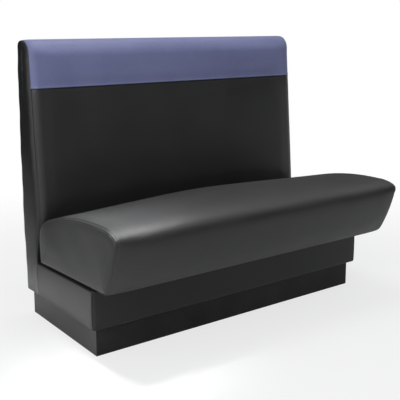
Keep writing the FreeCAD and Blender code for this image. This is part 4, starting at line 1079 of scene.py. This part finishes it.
backEndLook = {"bulge": 0.0022, "bulgeReach": 0.012, "bow": 0.0055, "bowFrom": 0.6365, "bowOver": 0.0065,
               "bowAt": (0.1, 0.16, 0.3, 0.5, 0.75, 0.95, 1.07),
               "bowShare": (-0.2, 0.05, 0.55, 0.9, 1, 0.75, 0.45),
               "edgeRoll": 0.0045, "squareWithin": 0.004, "columns": 420, "columnStep": 0.0052,
               "turns": (56, 56.8, 58.2, 60.5, 64, 69, 75, 82, 90), "spine": ((0.318, 0.14), (0.325, 1.03)),
               "near": [0.002, 0.0045, 0.008, 0.0125, 0.018, 0.025], "inwards": 5}


def backEnd(side):
    # the end panel: it comes round the rolled corner from the seam and lies flat over the end
    look, radius = backEndLook, back["edgeRadius"]
    count = look["columns"]
    rings = []
    for turn in np.radians(look["turns"]):
        line = backOutline(radius * (1 - math.cos(turn)), count)
        rings.append(np.column_stack([np.full(count, flatHalf + radius * math.sin(turn)), line]))
    rings = np.array(rings)
    # square edges at the base, the bottom and the rear get a small roll of their own
    last = rings[-1, :, 1:].copy()
    square = np.clip(1 - np.linalg.norm(rings[0, :, 1:] - last, axis=1) / look["squareWithin"], 0, 1)
    toward = unit(ringed(last, look["spine"], look["near"], 0)[0][0] - last)
    for k in range(len(rings)):
        angle = math.pi / 2 * k / (len(rings) - 1)
        rings[k, :, 1:] += toward * (look["edgeRoll"] * (1 - math.cos(angle)) * square)[:, None]
        rolled = bench["outerHalf"] - look["edgeRoll"] * (1 - math.sin(angle))
        rings[k, :, 0] = rings[k, :, 0] * (1 - square) + square * rolled
    inward, distances = ringed(rings[-1][:, 1:], look["spine"], look["near"], look["inwards"])
    out = bench["outerHalf"] + look["bulge"] * (1 - np.exp(-distances / look["bulgeReach"]))
    grid = np.concatenate([rings, np.concatenate([out[..., None], inward], 2)])
    height = grid[..., 2]
    bow = look["bow"] * flowing(height, look["bowAt"], look["bowShare"])
    ripple = 0.0007 * np.sin(height * 23 + side) + 0.0005 * np.sin(height * 61 + 2 * side + grid[..., 1] * 40)
    grid[..., 0] += (bow + ripple) * np.clip((grid[..., 0] - look["bowFrom"]) / look["bowOver"], 0, 1)
    grid[..., 0] *= side
    normal = loopNormals(grid, side)
    gap = np.linalg.norm(grid - grid[0], axis=2)
    along = (np.arange(count) * look["columnStep"])[None, :]
    relief = endSeamShape(gap) + 0.6 * puckers(along, gap, 17 + side)
    grid += normal * (relief * (1 - square))[..., None]
    rows, word = len(grid), sideWords[side]
    faces = gridFaces(rows, count, loop=True) + zipped(grid[-1, :, 2], (rows - 1) * count)
    piece = surface("back%sEndPanel" % word.title(), grid, faces, inside=(0, 0.32, 0.6))
    thickened(facedOut(piece, side, (rows - 2) * count))
    stands = ("back_%s_end_cover" % word, "back_%s_end_pad" % word)
    finished(piece, backVinyl, "booth", stands)


for side in (-1, 1):
    backEnd(side)

rear = {"half": 0.6405, "low": 0.1022, "high": 1.0098, "lowRows": (0.1022, 0.1032, 0.105),
        "highRows": (1.0075, 1.0092, 1.0098), "middles": (0.109, 1.004, 100), "columns": 130,
        "thickness": 0.001, "proud": 0.0002, "edgeIn": 0.0009, "edgeWidth": 0.004, "tack": 0.0003,
        "tackReach": 0.03, "slack": 0.0006}
rearX = np.linspace(-rear["half"], rear["half"], rear["columns"])[:, None]
rearZ = np.concatenate([rear["lowRows"], np.linspace(*rear["middles"]), rear["highRows"]])[None, :]
edge = np.minimum(rear["half"] - np.abs(rearX), np.minimum(rearZ - rear["low"], rear["high"] - rearZ))
tack = waves(rearX, (0.034, 0.051), 3) + waves(rearZ, (0.036, 0.047), 6)
rearY = (bench["rearY"] + rear["proud"] - rear["edgeIn"] * np.exp(-edge / rear["edgeWidth"])
         + rear["tack"] * tack * np.exp(-edge / rear["tackReach"])
         - rear["slack"] * np.abs(np.sin(rearX * 5) * np.sin(rearZ * 4)))
rearGrid = np.stack(np.broadcast_arrays(rearX, rearY, rearZ), 2)
rearCover = surface("backRearCover", rearGrid, gridFaces(*rearGrid.shape[:2]), inside=(0, 0.2, 0.5))
finished(thickened(rearCover, rear["thickness"]), backVinyl, "booth", ("back_rear_cover",))
print("back covers made")


apron = {"cornerRadius": 0.011, "bulge": 0.0026, "topRadius": 0.008, "bottomRadius": 0.008,
         "underSteps": (0.0024, 0.0012), "overSteps": (0.012, 0.018, 0.0252), "faceSteps": 22,
         "sideSteps": 52, "frontSteps": 130, "cornerSteps": 10, "endFullness": 0.35, "fullWithin": 0.03,
         "groove": 0.0012, "grooveWidth": 0.0022, "ripple": 0.0004, "rippleLengths": (0.019, 0.031, 0.058)}


def apronColumn(y, fullness):
    # how far out and how high the cover runs at one place, from under the bottom to over the board;
    # the third value tells whether the point lies on the face
    low, high = bench["kickTop"] + 0.0003, boxTop(y) - 0.0001
    r, b = apron["topRadius"], apron["bottomRadius"]
    line = [(-b - d, low, False) for d in apron["underSteps"]]
    for k in range(7):
        a = math.pi / 2 * k / 6
        line.append((-b + b * math.sin(a), low + b - b * math.cos(a), k == 6))
    for k in range(1, apron["faceSteps"]):
        share = k / apron["faceSteps"]
        out = apron["bulge"] * fullness * math.sin(math.pi * share) ** 0.55
        line.append((out, low + b + (high - r - low - b) * share, True))
    for k in range(9):
        a = math.pi / 2 * k / 8
        line.append((-r + r * math.cos(a), high - r + r * math.sin(a), k < 5))
    return line + [(-d, high, False) for d in apron["overSteps"]]


def apronPath():
    # plan line round the front of the box: place and outward direction
    half, front, rearY = bench["outerHalf"], bench["boxFrontY"], bench["boxRearY"]
    r, side, wide = apron["cornerRadius"], apron["sideSteps"], apron["frontSteps"]
    angles = [math.pi / 2 * k / apron["cornerSteps"] for k in range(apron["cornerSteps"] + 1)]
    turns = [(math.cos(a), math.sin(a)) for a in angles]
    path = [(-half, rearY + (front + r - rearY) * k / side, -1.0, 0.0) for k in range(side)]
    path += [(-half + r - r * c, front + r - r * s, -c, -s) for c, s in turns]
    path += [(-half + r + (2 * half - 2 * r) * k / wide, front, 0.0, -1.0) for k in range(1, wide)]
    path += [(half - r + r * s, front + r - r * c, s, -c) for c, s in turns]
    path += [(half, front + r + (rearY - front - r) * k / side, 1.0, 0.0) for k in range(1, side + 1)]
    return path


path = apronPath()
halfCorner = apron["cornerSteps"] // 2
leftCorner = apron["sideSteps"] + halfCorner
corners = (leftCorner, len(path) - 1 - leftCorner)
walk = runOf(np.array(path)[:, :2])
columns = []
for k, (x, y, nx, ny) in enumerate(path):
    toCorner = min(abs(walk[k] - walk[c]) for c in corners)
    toEnd = min(toCorner, walk[k], walk[-1] - walk[k])
    fullness = apron["endFullness"] + (1 - apron["endFullness"]) * min(1, toEnd / apron["fullWithin"]) ** 0.6
    groove = apron["groove"] * math.exp(-(toCorner / apron["grooveWidth"]) ** 2)
    ripple = apron["ripple"] * float(waves(walk[k], apron["rippleLengths"], 21))
    column = []
    for out, z, onFace in apronColumn(y if abs(nx) > 0.5 else bench["boxFrontY"], fullness):
        if onFace:
            out += ripple * math.exp(-(z - bench["kickTop"]) / 0.03) - groove
        column.append((x + nx * out, y + ny * out, z))
    columns.append(column)
columns = np.array(columns)
for word, first, last in (("left", 0, corners[0]), ("front", *corners), ("right", corners[1], len(path) - 1)):
    part = columns[first:last + 1]
    piece = surface("apron" + word.title(), part, gridFaces(*part.shape[:2]), inside=(0, 0.05, 0.17))
    stands = ("apron_%s_cover" % word, "apron_%s_pad" % word)
    finished(thickened(piece), apronVinyl, "booth", stands)
print("apron made")


def pitchedSheet(name, halfX, lowY, highY, lift, thickness, countX, countY):
    # a flat sheet along the seat frame's slope
    xs, ys = np.linspace(-halfX, halfX, countX)[:, None], np.linspace(lowY, highY, countY)[None, :]
    grid = np.stack(np.broadcast_arrays(xs, ys, underSeat(ys) + lift), 2)
    return thickened(surface(name, grid, gridFaces(countX, countY), inside=(0, 0, 1)), thickness)


dust = pitchedSheet("seatDustCover", 0.6167, -0.2452, 0.1592, 0.0011, 0.0007, 120, 44)
finished(dust, blackCambric, "seat", ("seat_dust_cover",))
pad = {"inset": 0.0005, "lift": 0.0914, "thickness": 0.0036}
padLow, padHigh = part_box("spring_pad")
springPad = pitchedSheet("springPad", padHigh.x - pad["inset"], padLow.y + pad["inset"],
                         padHigh.y - pad["inset"], pad["lift"], pad["thickness"], 90, 40)
finished(springPad, greyFelt, "seat", ("spring_pad",))
print("sheets made")


def alongPath(name, shape):
    # a node tree that repeats one small shape along a path, upright on the surface
    tree = bpy.data.node_groups.new(name, "GeometryNodeTree")
    tree.interface.new_socket(name="Path", in_out="INPUT", socket_type="NodeSocketGeometry")
    for word, value in (("Spacing", 0.005), ("Length", 0.0036), ("Thickness", 0.0007)):
        item = tree.interface.new_socket(name=word, in_out="INPUT", socket_type="NodeSocketFloat")
        item.default_value = value
    tree.interface.new_socket(name="Material", in_out="INPUT", socket_type="NodeSocketMaterial")
    tree.interface.new_socket(name="Geometry", in_out="OUTPUT", socket_type="NodeSocketGeometry")
    given = put(tree, "NodeGroupInput").outputs
    curve = put(tree, "GeometryNodeMeshToCurve", {"Mesh": given["Path"]})
    steps = put(tree, "GeometryNodeResampleCurve", {"Curve": curve.outputs["Curve"],
                                                    "Length": given["Spacing"]}, mode="LENGTH")
    ahead = put(tree, "GeometryNodeInputTangent")
    upward = put(tree, "GeometryNodeInputNamedAttribute", {"Name": "outward"}, data_type="FLOAT_VECTOR")
    first = put(tree, "FunctionNodeAlignRotationToVector", {"Vector": ahead.outputs["Tangent"]}, axis="X")
    second = put(tree, "FunctionNodeAlignRotationToVector", {"Rotation": first.outputs["Rotation"],
                 "Vector": upward.outputs["Attribute"]}, axis="Z", pivot_axis="X")
    if shape == "staple":
        rod = put(tree, "GeometryNodeMeshCylinder", {"Vertices": 6, "Radius": 0.5, "Depth": 1})
        lie = put(tree, "GeometryNodeTransform", {"Geometry": rod.outputs["Mesh"],
                                                  "Rotation": (0, math.pi / 2, 0)})
        one = lie.outputs["Geometry"]
    else:
        ball = put(tree, "GeometryNodeMeshUVSphere", {"Segments": 6, "Rings": 5, "Radius": 0.5})
        one = ball.outputs["Mesh"]
    size = put(tree, "ShaderNodeCombineXYZ", {"X": given["Length"], "Y": given["Thickness"],
                                              "Z": given["Thickness"]})
    sized = put(tree, "GeometryNodeTransform", {"Geometry": one, "Scale": size.outputs[0]})
    copies = put(tree, "GeometryNodeInstanceOnPoints", {"Points": steps.outputs["Curve"],
                 "Instance": sized.outputs["Geometry"], "Rotation": second.outputs["Rotation"]})
    real = put(tree, "GeometryNodeRealizeInstances", {"Geometry": copies.outputs["Instances"]})
    smooth = put(tree, "GeometryNodeSetShadeSmooth", {"Geometry": real.outputs["Geometry"]})
    paint = put(tree, "GeometryNodeSetMaterial", {"Geometry": smooth.outputs["Geometry"],
                                                  "Material": given["Material"]})
    put(tree, "NodeGroupOutput", {"Geometry": paint.outputs["Geometry"]})
    return tree


def laid(name, tree, lines, sizes, material, body):
    # lines are pairs of places and outward directions; the result is one plain mesh
    points, edges, ups = [], [], []
    for places, outs in lines:
        start = len(points)
        points += [tuple(p) for p in places]
        ups += [tuple(n) for n in outs]
        edges += [(start + k, start + k + 1) for k in range(len(places) - 1)]
    mesh = bpy.data.meshes.new(name + "Path")
    mesh.from_pydata(points, edges, [])
    field = mesh.attributes.new("outward", "FLOAT_VECTOR", "POINT")
    field.data.foreach_set("vector", np.array(ups, np.float32).reshape(-1))
    guide = link(name + "Path", mesh)
    work = guide.modifiers.new("row", "NODES")
    work.node_group = tree
    given = {**sizes, "Material": material}
    for item in tree.interface.items_tree:
        if item.in_out == "INPUT" and item.name in given:
            work[item.identifier] = given[item.name]
    view = bpy.context.evaluated_depsgraph_get()
    view.update()
    done = bpy.data.meshes.new_from_object(guide.evaluated_get(view), preserve_all_data_layers=False,
                                           depsgraph=view)
    guide.modifiers.remove(work)
    bpy.data.objects.remove(guide)
    done.name = name
    finished(link(name, done), material, body)


def stitchLine(grid, normal, row, first, last, lift):
    # a row of a cover, a hair above it, with its outward directions
    return grid[row, first:last] + normal[row, first:last] * lift, normal[row, first:last]


stitchTree = alongPath("stitchRow", "stitch")
stapleTree = alongPath("stapleRow", "staple")
stitchSize = {"Spacing": 0.0052, "Length": 0.0037, "Thickness": 0.00085}
topOut = outwardOf(topRows, seat["inside"])
topRow, endRow = (near.index(seam["rowAt"]) for near in (seam["near"], seatEndLook["near"]))
seatLines = []
for side in (-1, 1):
    k = topRow if side < 0 else len(fineX) - 1 - topRow
    seatLines.append(stitchLine(topRows, topOut, k, 3, seat["columns"] - 2, 0.00005))
    seatLines.append(stitchLine(*seatEnds[side], endRow, 3, seat["columns"] - 2, 0.00005))
laid("seatSeamStitches", stitchTree, seatLines, stitchSize, blackThread, "seat")
backLines = [stitchLine(backRows, backOut, k, 4, panelCount - 3, 0.0001) for k in (6, len(fineU) - 7)]
laid("backSeamStitches", stitchTree, backLines, {**stitchSize, "Spacing": 0.006}, blackThread, "booth")
print("stitches made")

# staples: round the turned-under edge of the seat, and round the rear cover
stapleSize = {"Spacing": 0.034, "Length": 0.0105, "Thickness": 0.0011}
staples = {"fromEdge": 0.014, "underHalf": 0.60, "fromSeam": 0.026, "underFrontY": -0.235, "underRearY": 0.15,
           "underLift": 0.0006, "rearRows": (0.110, 1.001), "rearHalf": 0.625, "rearColumns": (-0.632, 0.632),
           "rearLowZ": 0.125, "rearHighZ": 0.985, "rearLift": 0.0004}


def underneath(xs, ys):
    return [(x, y, underSeat(y) - staples["underLift"]) for x, y in zip(xs, ys)], [(0, 0, -1)] * len(xs)


def behind(xs, zs):
    return [(x, bench["rearY"] + staples["rearLift"], z) for x, z in zip(xs, zs)], [(0, 1, 0)] * len(xs)


inset = seat["return"] - staples["fromEdge"]
underX = np.linspace(-staples["underHalf"], staples["underHalf"], 50)
underY = np.linspace(staples["underFrontY"], staples["underRearY"], 30)
underLines = [underneath(underX, [y] * 50) for y in (seat["heelY"] - inset, seat["toeY"] + inset)]
underLines += [underneath([side * (seamHalf - staples["fromSeam"])] * 30, underY) for side in (-1, 1)]
laid("seatStaples", stapleTree, underLines, stapleSize, zincSteel, "seat")
alongX = np.linspace(-staples["rearHalf"], staples["rearHalf"], 60)
alongZ = np.linspace(staples["rearLowZ"], staples["rearHighZ"], 60)
rearLines = [behind(alongX, [z] * 60) for z in staples["rearRows"]]
rearLines += [behind([x] * 60, alongZ) for x in staples["rearColumns"]]
laid("rearCoverStaples", stapleTree, rearLines, {**stapleSize, "Spacing": 0.040}, zincSteel, "booth")
print("staples made")
